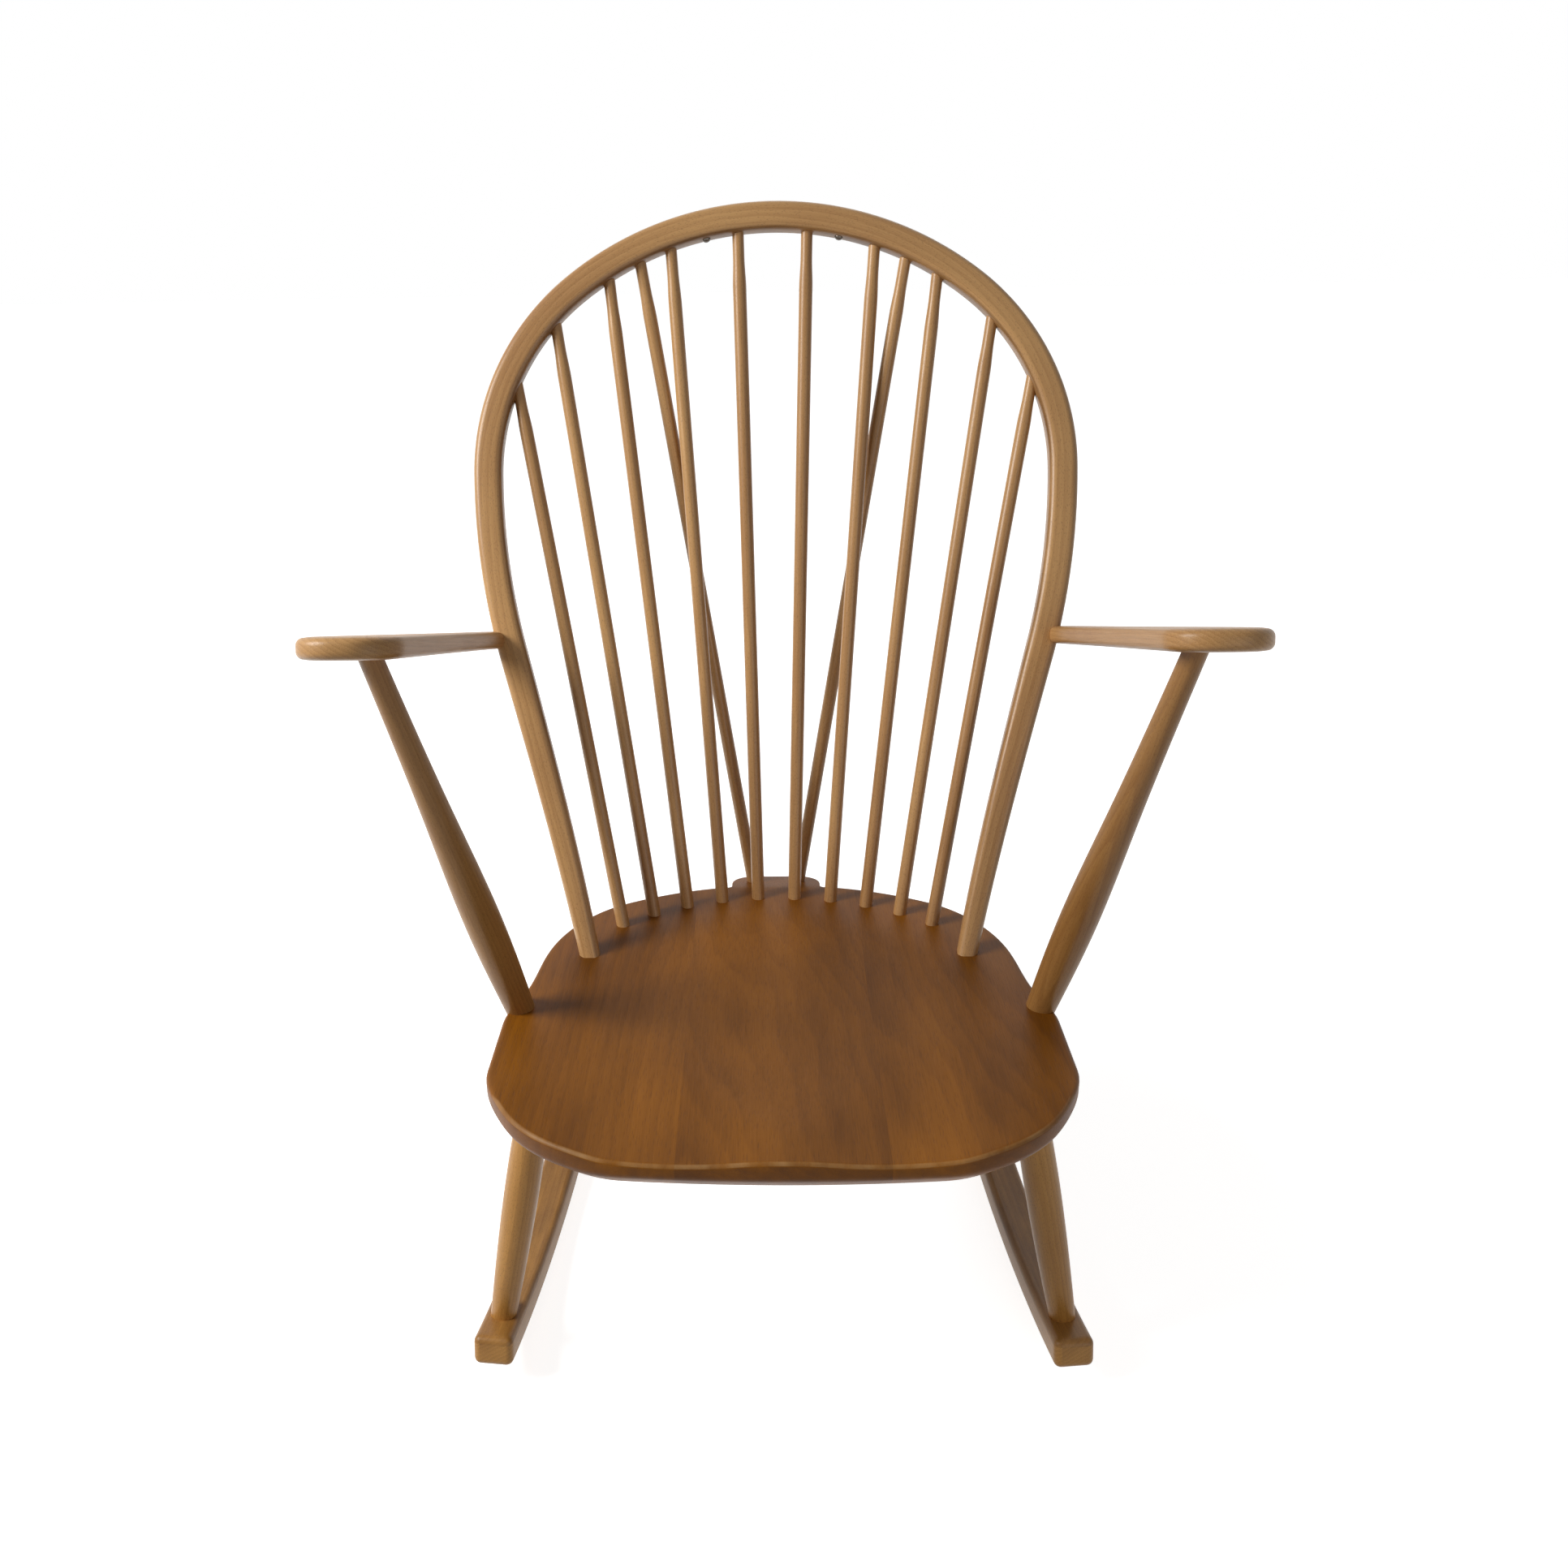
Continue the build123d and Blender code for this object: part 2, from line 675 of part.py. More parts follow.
for name, (foot, top) in legs.items():
    way = along(foot, top)
    length = (top - foot).length
    with BuildPart() as leg:
        with BuildSketch(turning_plane(foot, top)):
            with BuildLine():
                outline = Spline(
                    (leg_foot_diameter / 2, 0),
                    (leg_swell_diameter / 2, leg_swell_share * length),
                    (leg_top_diameter / 2, length),
                )
                Polyline(
                    outline @ 1,
                    (leg_top_diameter / 2, length + tool_overrun),
                    (0, length + tool_overrun),
                    (0, -leg_foot_seating),
                    (leg_foot_diameter / 2, -leg_foot_seating),
                    outline @ 0,
                )
            make_face()
        revolve(axis=Axis(foot, way))
        split(bisect_by=seat_underside, keep=Keep.BOTTOM)
        add(rails[name.split("_")[-1]], mode=Mode.SUBTRACT)
        with BuildSketch(facing(foot, -way, leg_tenon_length)):
            Circle(leg_foot_tenon_diameter / 2)
        extrude(amount=leg_tenon_length + leg_foot_tenon_length)
        with BuildSketch(facing(top, way, leg_tenon_length)):
            Circle(leg_tenon_diameter / 2)
        extrude(amount=2 * leg_tenon_length)
    finish(leg.part, name)

# ---------------------------------------------------------------- cushion strap studs
with BuildPart() as strap_studs:
    for side in (-1, 1):
        seat_of_stud = on_hoop_line(stick_pitch_on_hoop, side, inward=hoop_width / 2 + glue_gap)
        outward = along(seat_of_stud, on_hoop_line(stick_pitch_on_hoop, side))
        with BuildSketch(turning_plane(seat_of_stud, seat_of_stud + outward)):
            Polygon(
                (0, -stud_head_height),
                (stud_head_diameter / 3, -stud_head_height),
                (stud_head_diameter / 2, -stud_head_height / 2),
                (stud_head_diameter / 2, 0),
                (stud_shank_diameter / 2, 0),
                (stud_shank_diameter / 2, stud_shank_length),
                (0, stud_shank_length),
                align=None,
            )
        revolve(axis=Axis(seat_of_stud, outward))
finish(strap_studs.part, "strap_studs")
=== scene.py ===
"""Hoop back rocking chair: its turned, bent and carved pieces, their finishes and the stage."""
from math import asin, atan2, copysign, cos, degrees, hypot, pi, radians, sin, tan
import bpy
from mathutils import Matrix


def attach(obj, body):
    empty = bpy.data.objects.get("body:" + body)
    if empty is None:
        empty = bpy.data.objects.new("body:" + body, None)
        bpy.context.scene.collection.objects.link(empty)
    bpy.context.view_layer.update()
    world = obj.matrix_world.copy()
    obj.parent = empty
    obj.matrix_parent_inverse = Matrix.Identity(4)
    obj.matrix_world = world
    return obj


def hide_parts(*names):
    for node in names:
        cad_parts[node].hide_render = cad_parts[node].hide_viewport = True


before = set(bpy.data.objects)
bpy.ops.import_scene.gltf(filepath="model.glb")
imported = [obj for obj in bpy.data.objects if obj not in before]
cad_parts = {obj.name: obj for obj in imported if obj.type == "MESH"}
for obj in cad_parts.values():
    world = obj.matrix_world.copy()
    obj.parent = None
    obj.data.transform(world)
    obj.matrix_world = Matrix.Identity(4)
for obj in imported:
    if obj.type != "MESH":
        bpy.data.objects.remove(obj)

from types import SimpleNamespace

import bmesh
import bpy
import numpy as np
from bpy.props import FloatProperty, FloatVectorProperty, IntProperty, PointerProperty
from mathutils import Matrix, Vector

bl_info = {
    "name": "Hoop Back Rocking Chair",
    "version": (1, 0, 0),
    "blender": (4, 5, 0),
    "location": "View3D > Sidebar > Rocking Chair",
    "description": "Models and finishes a hoop back rocking chair round its frame",
    "category": "Add Mesh",
}

BODY = "root"
SIDES = (("left", -1), ("right", 1))
TURNED_SIDES = 48
SMALL_TURNED_SIDES = 32
PROFILE_STEPS = 24
SECTION_CORNER_STEPS = 5
SMOOTH_ANGLE = radians(35)
SQUARE_EDGE_ANGLE = radians(60)
SOFT_EDGE_ANGLE = radians(38)
WELD_DISTANCE = 1e-6
TOUCHING = 1e-4

# Each piece is cut from a log of its own, which starts elsewhere in the wood.
LOG_STRIDE = (0.37, 0.61, 1.93)
SEAT_LOG = 0
HOOP_LOG = 7
STICK_LOG = 11
ARM_LOG = 31
SUPPORT_LOG = 41
PLUG_LOG = 50
ROCKER_LOG = 61
FRONT_LEG_LOG = 71
REAR_LEG_LOG = 75

# How much painted highlight a place has, above 0, or painted shade, below 0.
SEAT_FRONT_HIGHLIGHT = 0.4
SEAT_SIDE_SHADE = -0.75
HOOP_OUTSIDE_HIGHLIGHT = 0.5
HOOP_INSIDE_SHADE = -0.9
SOLE_SHADE = -0.7


# ---------------------------------------------------------------- sizes and colours
def length(name, description, default):
    """A length property, in metres."""
    return FloatProperty(name=name, description=description, default=default, unit="LENGTH")


def angle(name, description, turn):
    """An angle property, whose default is given in degrees."""
    return FloatProperty(name=name, description=description, default=radians(turn), subtype="ANGLE")


def amount(name, description, default):
    """A property for a share from 0 to 1."""
    return FloatProperty(name=name, description=description, default=default, subtype="FACTOR")


def linear(shown):
    """The amount of light in a display value from 0 to 255, by the usual display curve."""
    share = shown / 255
    return share / 12.92 if share <= 0.04045 else ((share + 0.055) / 1.055) ** 2.4


def colour(name, description, red, green, blue):
    """A colour property whose default is given in display values."""
    return FloatVectorProperty(
        name=name,
        description=description,
        default=(linear(red), linear(green), linear(blue)),
        size=3,
        min=0,
        max=1,
        subtype="COLOR",
    )


class SeatSizes(bpy.types.PropertyGroup):
    """Across, back from the front edge along the seat, and up from its top."""

    front_y: length("Front edge", "Where the front edge stands, forward of the middle", -0.352)
    front_height: length("Front height", "Height of the top at the front edge", 0.334)
    tilt: angle("Tilt", "How far the seat falls to the back", 5)
    thickness: length("Thickness", "Thickness of the boards", 0.036)
    depth: length("Depth", "From the front edge to the rear edge", 0.484)
    half_width: length("Half width", "From the middle to the widest point", 0.251)
    front_half_straight: length("Front half width", "Half of the front bow's width", 0.130)
    front_bow: length("Front bow", "How far the front bows forward", 0.0055)
    corner_start: length("Corner start", "Half width where the front corner starts", 0.172)
    corner_start_setback: length("Corner start setback", "From the front edge to its start", 0.0185)
    corner: length("Corner", "Half width in the middle of the front corner", 0.213)
    corner_setback: length("Corner setback", "From the front edge to its middle", 0.0485)
    corner_end: length("Corner end", "Half width where the front corner ends", 0.239)
    corner_end_setback: length("Corner end setback", "From the front edge to its end", 0.088)
    widest_front: length("Widest from", "From the front edge to the straight side", 0.128)
    widest_back: length("Widest to", "From the front edge to the straight side's end", 0.206)
    waist: length("Waist", "Half width behind the straight side", 0.239)
    waist_setback: length("Waist setback", "From the front edge to that width", 0.258)
    rear_side: length("Rear side", "Half width beside the hoop's feet", 0.227)
    rear_side_inset: length("Rear side inset", "From the rear edge to that width", 0.144)
    rear_corner: length("Rear corner", "Half width at the rear corners", 0.160)
    rear_bow: length("Rear bow", "How far the rear bows backward", 0.043)
    tail_half_width: length("Tail half width", "Half width of the tail", 0.048)
    tail_length: length("Tail length", "How far the tail runs past the rear edge", 0.036)
    tail_fall: length("Tail fall", "How far the tail's top falls", 0.007)
    tail_fall_run: length("Tail fall run", "Over what length the tail falls", 0.044)
    tail_corner: length("Tail corners", "Radius of the tail's corners", 0.024)
    tail_root: length("Tail root", "Radius in the corners where the tail starts", 0.006)
    edge_rounding: length("Edge rounding", "Radius of the top edge", 0.0035)
    undercut_height: length("Undercut height", "How high the edge is cut away below", 0.019)
    undercut_width: length("Undercut width", "How far in the edge is cut away below", 0.020)
    board_half_width: length("Board half width", "Half width of the middle board", 0.084)
    saddle_radius: length("Saddle radius", "Radius of the shallow bowl", 0.178)
    saddle_depth: length("Saddle depth", "Depth of the shallow bowl", 0.008)
    saddle_setback: length("Saddle setback", "Where the bowl is deepest", 0.226)
    hollow_spacing: length("Hollow spacing", "From one thigh hollow to the other", 0.186)
    hollow_depth: length("Hollow depth", "Depth of the thigh hollows", 0.0045)
    hollow_radius: length("Hollow radius", "Radius of the thigh hollows", 0.560)


class BackSizes(bpy.types.PropertyGroup):
    """The hoop in its leaning plane, and the sticks between the seat and the hoop."""

    hoop_inset: length("Hoop inset", "From the rear edge forward to the hoop's feet", 0.152)
    hoop_lean: angle("Hoop lean", "How far the hoop leans back", 25.8)
    hoop_height: length("Hoop height", "From the seat to the hoop's outside", 0.737)
    hoop_half_spread: length("Half spread", "Half of the widest span, at the centreline", 0.282)
    hoop_width: length("Hoop width", "Width of the bow, seen from the front", 0.0275)
    hoop_depth: length("Hoop depth", "Depth of the bow from front to back", 0.022)
    hoop_edge: length("Hoop edges", "Radius of the bow's long edges", 0.007)
    crown_radius: length("Crown radius", "Radius of the crown's centreline", 0.312)
    crown_half_angle: angle("Crown half angle", "Half of the crown's sweep", 39)
    flank_radius: length("Flank radius", "Radius of the flanks' centreline", 0.690)
    flank_angle: angle("Flank angle", "Sweep of each flank", 15)
    foot_width: length("Foot width", "Width of the bow at the seat", 0.0205)
    foot_depth: length("Foot depth", "Depth of the bow at the seat", 0.0205)
    foot_splay: length("Foot splay", "How far the legs bend out at the seat", 0.0065)
    foot_tenon: length("Foot tenon", "Diameter of the tenon through the seat", 0.019)
    stick_count: IntProperty(name="Sticks", description="Number of back sticks", default=10)
    stick_pitch: length("Stick pitch", "From stick to stick along the hoop", 0.0685)
    base_radius: length("Base radius", "Radius of the sticks' line on the seat", 0.235)
    base_inset: length("Base inset", "From the rear edge to the sticks' line", 0.031)
    base_pitch: angle("Base pitch", "From stick to stick about the line's centre", 9.4)
    stick_diameter: length("Stick diameter", "Diameter of a stick", 0.0134)
    tip_diameter: length("Tip diameter", "Diameter of a stick's upper end", 0.0114)
    tip_taper: length("Tip taper", "Where the taper starts, from the upper end", 0.070)
    tip_length: length("Tip length", "Length of the straight tip", 0.040)
    socket_depth: length("Socket depth", "How deep a stick stands in the seat", 0.024)
    reach: length("Reach", "How far a stick runs past the hoop's centreline", 0.004)
    brace_half_spacing: length("Brace spacing", "Half spacing of the braces on the tail", 0.0255)
    brace_past_seat: length("Brace setback", "How far behind the rear edge they stand", 0.017)
    stud_diameter: length("Stud diameter", "Diameter of a strap stud's head", 0.008)
    stud_height: length("Stud height", "How far a stud's head stands proud", 0.003)
    stud_shank: length("Stud shank", "Length of a stud's shank in the hoop", 0.012)


class ArmSizes(bpy.types.PropertyGroup):
    """Across, forward of the hoop's line along the arm, and the turned supports."""

    height_on_hoop: length("Arm height", "Height of the arms up the hoop", 0.310)
    slope: angle("Slope", "How far the arms rise to the front", 20.3)
    thickness: length("Thickness", "Thickness of an arm", 0.016)
    edge_radius: length("Edge radius", "Radius of an arm's edges", 0.0058)
    end_corner: length("End corners", "Radius of the rear corners", 0.013)
    overlap: length("Overlap", "How far an arm laps onto the hoop", 0.010)
    end_behind: length("End behind", "How far an arm ends behind the hoop's line", 0.014)
    neck_width: length("Neck width", "Width at the rear end", 0.036)
    waist_reach: length("Waist reach", "Where the arm is narrowest", 0.150)
    waist_inner: length("Waist inner", "Inner edge at the waist", 0.2715)
    waist_width: length("Waist width", "Width near the waist", 0.0455)
    paddle_centre: length("Paddle centre", "Middle of the hand rest", 0.3125)
    paddle_half_width: length("Paddle half width", "Half width of the hand rest", 0.0395)
    front_reach: length("Front reach", "Where the hand rest ends", 0.403)
    front_radius: length("Front radius", "Radius of its front corners", 0.036)
    crown: length("Crown", "How much the top is domed", 0.0006)
    support_reach: length("Support reach", "Where the support meets the arm", 0.335)
    support_across: length("Support across", "From the middle across to the support's top", 0.308)
    support_base: length("Support base", "Across the seat to the support's foot", 0.239)
    support_setback: length("Support setback", "Back from the seat's front edge", 0.230)
    base_diameter: length("Base diameter", "Support's diameter at the seat", 0.0265)
    swell_diameter: length("Swell diameter", "Support's greatest diameter", 0.0325)
    swell_height: length("Swell height", "Height of the greatest diameter", 0.108)
    neck_diameter: length("Neck diameter", "Support's diameter above the swell", 0.025)
    neck_height: length("Neck height", "Height of the neck diameter", 0.236)
    top_diameter: length("Top diameter", "Support's diameter at the arm", 0.0185)
    tenon_diameter: length("Tenon diameter", "Diameter of the lower tenon", 0.015)
    tenon_length: length("Tenon length", "Length of the lower tenon", 0.022)
    seating: length("Seating", "How deep a support's shoulder is let into the seat", 0.00704)
    top_tenon_diameter: length("Top tenon diameter", "Diameter of the upper tenon", 0.013)
    top_tenon_length: length("Top tenon length", "Length of the upper tenon", 0.010)
    plug_diameter: length("Plug diameter", "Diameter of the plug over the screw", 0.0095)
    plug_length: length("Plug length", "Length of the plug", 0.007)
    plug_reach: length("Plug reach", "How far forward of the hoop's line it sits", 0.004)
    plug_proud: length("Plug proud", "How far a plug stands out of the arm", 0.0002)
    plug_bevel: length("Plug bevel", "Height of the bevel round a plug's end", 0.0006)


class BaseSizes(bpy.types.PropertyGroup):
    """The rockers, which toe in towards the back, and the turned legs on them."""

    rocker_front_y: length("Rocker front", "Where the rockers' front ends stand", -0.281)
    rocker_across: length("Rocker across", "How far across the front ends stand", 0.2635)
    toe_in: angle("Toe in", "How far the rockers turn in", 5.54)
    rocker_length: length("Rocker length", "Length along the floor", 0.636)
    rocker_radius: length("Rocker radius", "Radius of the sole", 0.900)
    contact: length("Contact", "Where the sole rests, back from its front end", 0.231)
    rocker_width: length("Rocker width", "Width of the rail", 0.0365)
    rocker_height: length("Rocker height", "Height of the rail", 0.028)
    rocker_edge: length("Rocker edges", "Radius of the rail's edges", 0.0065)
    front_across: length("Front legs", "Across the seat to a front leg", 0.214)
    front_setback: length("Front leg setback", "Back from the seat's front edge", 0.148)
    front_on_rocker: length("Front leg foot", "Back from the rocker's front end", 0.046)
    rear_across: length("Rear legs", "Across the seat to a rear leg", 0.146)
    rear_inset: length("Rear leg inset", "Forward of the seat's rear edge", 0.128)
    rear_on_rocker: length("Rear leg foot", "Back from the rocker's front end", 0.398)
    top_diameter: length("Top diameter", "A leg's diameter at the seat", 0.028)
    swell_diameter: length("Swell diameter", "A leg's greatest diameter", 0.0315)
    swell_share: amount("Swell place", "Where a leg is thickest, from foot to top", 0.62)
    foot_diameter: length("Foot diameter", "A leg's diameter at the rocker", 0.024)
    tenon_diameter: length("Tenon diameter", "Diameter of the upper tenon", 0.020)
    tenon_length: length("Tenon length", "Length of the upper tenon", 0.022)
    foot_seating: length("Foot seating", "How deep a foot is let into the rocker", 0.008)
    foot_tenon_diameter: length("Foot tenon diameter", "Diameter of the foot tenon", 0.015)
    foot_tenon_length: length("Foot tenon length", "Length of the foot tenon", 0.018)


class Finishes(bpy.types.PropertyGroup):
    """The colours of the woods and metals."""

    seat_light: colour("Seat, light", "Early wood of the seat", 158, 98, 24)
    seat_dark: colour("Seat, dark", "Late wood of the seat", 84, 46, 6)
    beech_light: colour("Bows, light", "Light grain of the hoop, sticks and arms", 210, 165, 108)
    beech_dark: colour("Bows, dark", "Dark grain of the hoop, sticks and arms", 150, 104, 58)
    base_light: colour("Base, light", "Light grain of the legs and rockers", 208, 154, 80)
    base_dark: colour("Base, dark", "Dark grain of the legs and rockers", 150, 100, 42)
    # The supports are given darker beech than the arms: painted shade.
    support_light: colour("Supports, light", "Light grain of the arm supports", 180, 134, 76)
    support_dark: colour("Supports, dark", "Dark grain of the arm supports", 126, 83, 38)
    # The fleck colour also serves as the colour of the painted shade.
    fleck_and_shade: colour("Flecks and painted shade", "Pores and flecks in the grain", 84, 50, 24)
    # The colour of the painted highlights on edges.
    painted_highlight: colour("Painted light marks", "Colour of the painted highlights on edges", 214, 176, 126)
    steel: colour("Steel", "Bright steel of the screws", 176, 176, 172)
    stud: colour("Stud metal", "Dull plated metal of the strap studs", 108, 100, 92)


class ChairSettings(bpy.types.PropertyGroup):
    """All the sizes and colours of the chair."""

    seat: PointerProperty(type=SeatSizes)
    back: PointerProperty(type=BackSizes)
    arm: PointerProperty(type=ArmSizes)
    base: PointerProperty(type=BaseSizes)
    finishes: PointerProperty(type=Finishes)


def chair():
    """The settings that every step reads."""
    return bpy.context.scene.rocking_chair


# ---------------------------------------------------------------- planes and places
def plane(origin, x_axis, z_axis):
    """The matrix that takes a plane's own x, y and z to the chair's."""
    x_axis = Vector(x_axis).normalized()
    z_axis = Vector(z_axis).normalized()
    turn = Matrix((x_axis, z_axis.cross(x_axis), z_axis)).transposed().to_4x4()
    return Matrix.Translation(origin) @ turn


def seat_plane():
    """x runs across the seat and y runs back from its front edge."""
    seat = chair().seat
    up = (0, sin(seat.tilt), cos(seat.tilt))
    return plane((0, seat.front_y, seat.front_height), (1, 0, 0), up)


def on_seat(across, back, up=0.0):
    """A point across the seat, back from its front edge and up from its top."""
    return seat_plane() @ Vector((across, back, up))


def hoop_plane():
    """x runs across the hoop, y up from its feet, and z to the front."""
    seat, back = chair().seat, chair().back
    front = (0, -cos(back.hoop_lean), sin(back.hoop_lean))
    return plane(on_seat(0, seat.depth - back.hoop_inset), (1, 0, 0), front)


def hoop_line():
    """The arcs of the hoop's centreline: crown, shoulders, flanks, and the straight legs."""
    back = chair().back
    line = SimpleNamespace()
    sine, cosine = sin(back.crown_half_angle), cos(back.crown_half_angle)
    line.crown_y = back.hoop_height - back.hoop_width / 2 - back.crown_radius
    line.shoulder_radius = (back.hoop_half_spread - back.crown_radius * sine) / (1 - sine)
    line.shoulder_x = (back.crown_radius - line.shoulder_radius) * sine
    line.shoulder_y = line.crown_y + (back.crown_radius - line.shoulder_radius) * cosine
    line.flank_x = back.hoop_half_spread - back.flank_radius
    line.end_x = line.flank_x + back.flank_radius * cos(back.flank_angle)
    line.end_y = line.shoulder_y - back.flank_radius * sin(back.flank_angle)
    line.foot_x = line.end_x - line.end_y * tan(back.flank_angle)
    line.crown_length = back.crown_radius * back.crown_half_angle
    line.shoulder_length = line.shoulder_radius * (pi / 2 - back.crown_half_angle)
    return line


def on_hoop(distance, side, inward=0.0):
    """A point of the hoop's centreline, at a distance from the crown's middle."""
    back, line = chair().back, hoop_line()
    if distance <= line.crown_length:
        turn = distance / back.crown_radius
        x = (back.crown_radius - inward) * sin(turn)
        y = line.crown_y + (back.crown_radius - inward) * cos(turn)
    else:
        turn = back.crown_half_angle + (distance - line.crown_length) / line.shoulder_radius
        x = line.shoulder_x + (line.shoulder_radius - inward) * sin(turn)
        y = line.shoulder_y + (line.shoulder_radius - inward) * cos(turn)
    return hoop_plane() @ Vector((side * x, y, 0))


def arm_plane():
    """x runs across the arms, -y forward along them, and z up from their middle."""
    arm = chair().arm
    origin = hoop_plane() @ Vector((0, arm.height_on_hoop, 0))
    return plane(origin, (1, 0, 0), (0, sin(arm.slope), cos(arm.slope)))


def arm_inner_edge():
    """Where an arm's inner edge meets the hoop, across from the middle."""
    back, arm, line = chair().back, chair().arm, hoop_line()
    rise = line.shoulder_y - arm.height_on_hoop
    hoop_x = line.flank_x + (back.flank_radius**2 - rise**2) ** 0.5
    return hoop_x + back.hoop_width / 2 - arm.overlap


def on_arm(across, forward, up=0.0):
    """A point across from the middle, forward along the arms and up from their middle."""
    return arm_plane() @ Vector((across, -forward, up))


def rocker_plane(side):
    """x runs back along a rocker, y up, and z across it."""
    base = chair().base
    back = Vector((-side * sin(base.toe_in), cos(base.toe_in), 0))
    origin = (side * base.rocker_across, base.rocker_front_y, 0)
    return plane(origin, back, back.cross(Vector((0, 0, 1))))


def on_rocker(side, back):
    """The middle of a rocker's top, at a distance back from its front end."""
    base = chair().base
    top_radius = base.rocker_radius - base.rocker_height
    up = base.rocker_radius - (top_radius**2 - (back - base.contact) ** 2) ** 0.5
    return rocker_plane(side) @ Vector((back, up, 0))


def leg_lines(name, side):
    """The legs of one side: each one's node and log, and the points of the rocker and of the
    seat that it joins."""
    seat, base = chair().seat, chair().base
    front_foot = on_rocker(side, base.front_on_rocker)
    front_top = on_seat(side * base.front_across, base.front_setback, -seat.thickness)
    rear_foot = on_rocker(side, base.rear_on_rocker)
    rear_top = on_seat(side * base.rear_across, seat.depth - base.rear_inset, -seat.thickness)
    return (
        (f"front_leg_{name}", FRONT_LEG_LOG + side, front_foot, front_top),
        (f"rear_leg_{name}", REAR_LEG_LOG + side, rear_foot, rear_top),
    )


def stick_lines():
    """Each stick's node, and the points of the seat and of the hoop's line that it joins."""
    seat, back = chair().seat, chair().back
    middle = (back.stick_count - 1) / 2
    arc_y = seat.depth - back.base_inset - back.base_radius
    lines = []
    for number in range(back.stick_count):
        steps = number - middle
        turn = steps * back.base_pitch
        foot = on_seat(back.base_radius * sin(turn), arc_y + back.base_radius * cos(turn))
        top = on_hoop(abs(steps) * back.stick_pitch, 1 if steps > 0 else -1)
        lines.append((f"stick_{number + 1}", foot, top))
    for name, side in SIDES:
        foot = on_seat(side * back.brace_half_spacing, seat.depth + back.brace_past_seat)
        lines.append((f"brace_stick_{name}", foot, on_hoop(2 * back.stick_pitch, side)))
    return lines


# ---------------------------------------------------------------- curves
def smooth_curve(points, steps, start_way=None, end_way=None):
    """Evenly spaced points on a smooth curve through some points. Its ways at its two ends
    are unit vectors, or left free."""
    points = np.array(points, float)
    spans = np.linalg.norm(np.diff(points, axis=0), axis=1)
    knots = np.concatenate(([0], np.cumsum(spans)))
    last = len(points) - 1
    rule = np.zeros((last + 1, last + 1))
    aim = np.zeros(points.shape)
    for end, way, near in ((0, start_way, 1), (last, end_way, last - 1)):
        rule[end, end] = 1
        if way is None:
            rule[end, end], rule[end, near] = 2, 1
            span = spans[min(end, near)]
            aim[end] = 3 * (points[max(end, near)] - points[min(end, near)]) / span
        else:
            aim[end] = way
    for i in range(1, last):
        before, after = spans[i - 1], spans[i]
        rule[i, i - 1 : i + 2] = after, 2 * (before + after), before
        aim[i] = 3 * (
            after * (points[i] - points[i - 1]) / before + before * (points[i + 1] - points[i]) / after
        )
    ways = np.linalg.solve(rule, aim)
    curve = []
    for place in np.linspace(0, knots[-1], steps + 1):
        i = min(max(int(np.searchsorted(knots, place)) - 1, 0), last - 1)
        span = spans[i]
        t = (place - knots[i]) / span
        curve.append(
            (2 * t**3 - 3 * t**2 + 1) * points[i]
            + (t**3 - 2 * t**2 + t) * span * ways[i]
            + (3 * t**2 - 2 * t**3) * points[i + 1]
            + (t**3 - t**2) * span * ways[i + 1]
        )
    return [tuple(point) for point in curve]


def arc(centre, radius, start, sweep, steps):
    """Points on an arc, from an angle in degrees and over a sweep in degrees."""
    turns = [radians(start + sweep * i / steps) for i in range(steps + 1)]
    return [(centre[0] + radius * cos(t), centre[1] + radius * sin(t)) for t in turns]


def mirrored_outline(half):
    """A closed outline from its right half, which starts and ends on the middle line."""
    return half + [(-x, y) for x, y in reversed(half[1:-1])]


# ---------------------------------------------------------------- modelling
def select_only(*pieces):
    """Selects these pieces and nothing else, with the first one active."""
    bpy.ops.object.select_all(action="DESELECT")
    for piece in pieces:
        piece.select_set(True)
    bpy.context.view_layer.objects.active = pieces[0]


def start_piece(name, add, **options):
    """Adds a primitive with nothing else selected, and opens it for editing."""
    bpy.ops.object.select_all(action="DESELECT")
    add(**options)
    piece = bpy.context.object
    piece.name = piece.data.name = name
    bpy.ops.object.mode_set(mode="EDIT")
    return piece


def start_outline(name, outline, up):
    """A flat face with an outline, at a height, ready to be extruded."""
    piece = start_piece(
        name, bpy.ops.mesh.primitive_circle_add, vertices=len(outline), fill_type="NGON"
    )
    form = bmesh.from_edit_mesh(piece.data)
    for vertex, (across, back) in zip(form.verts, outline):
        vertex.co = (across, back, up)
    bmesh.update_edit_mesh(piece.data)
    return piece


def pick_faces(test):
    """Selects only the faces whose middle passes a test."""
    mesh = bpy.context.object.data
    bpy.ops.mesh.select_mode(type="FACE")
    bpy.ops.mesh.select_all(action="DESELECT")
    form = bmesh.from_edit_mesh(mesh)
    for face in form.faces:
        face.select_set(test(face.calc_center_median()))
    form.select_flush_mode()
    bmesh.update_edit_mesh(mesh)


def shape_selected(rule, *details):
    """Moves every selected vertex of the piece being edited to where a rule puts it."""
    mesh = bpy.context.object.data
    form = bmesh.from_edit_mesh(mesh)
    for vertex in form.verts:
        if vertex.select:
            vertex.co = rule(vertex.co, *details)
    bmesh.update_edit_mesh(mesh)


def extrude(way):
    """Extrudes what is selected by a vector."""
    bpy.ops.mesh.extrude_region_move(TRANSFORM_OT_translate={"value": way})


def widen(share, centre):
    """Scales what is selected across x and y, about a centre."""
    bpy.ops.transform.resize(value=(share, share, 1), center_override=centre)


def face_outwards():
    """Turns every face of the piece being edited outwards."""
    bpy.ops.mesh.select_all(action="SELECT")
    bpy.ops.mesh.normals_make_consistent(inside=False)


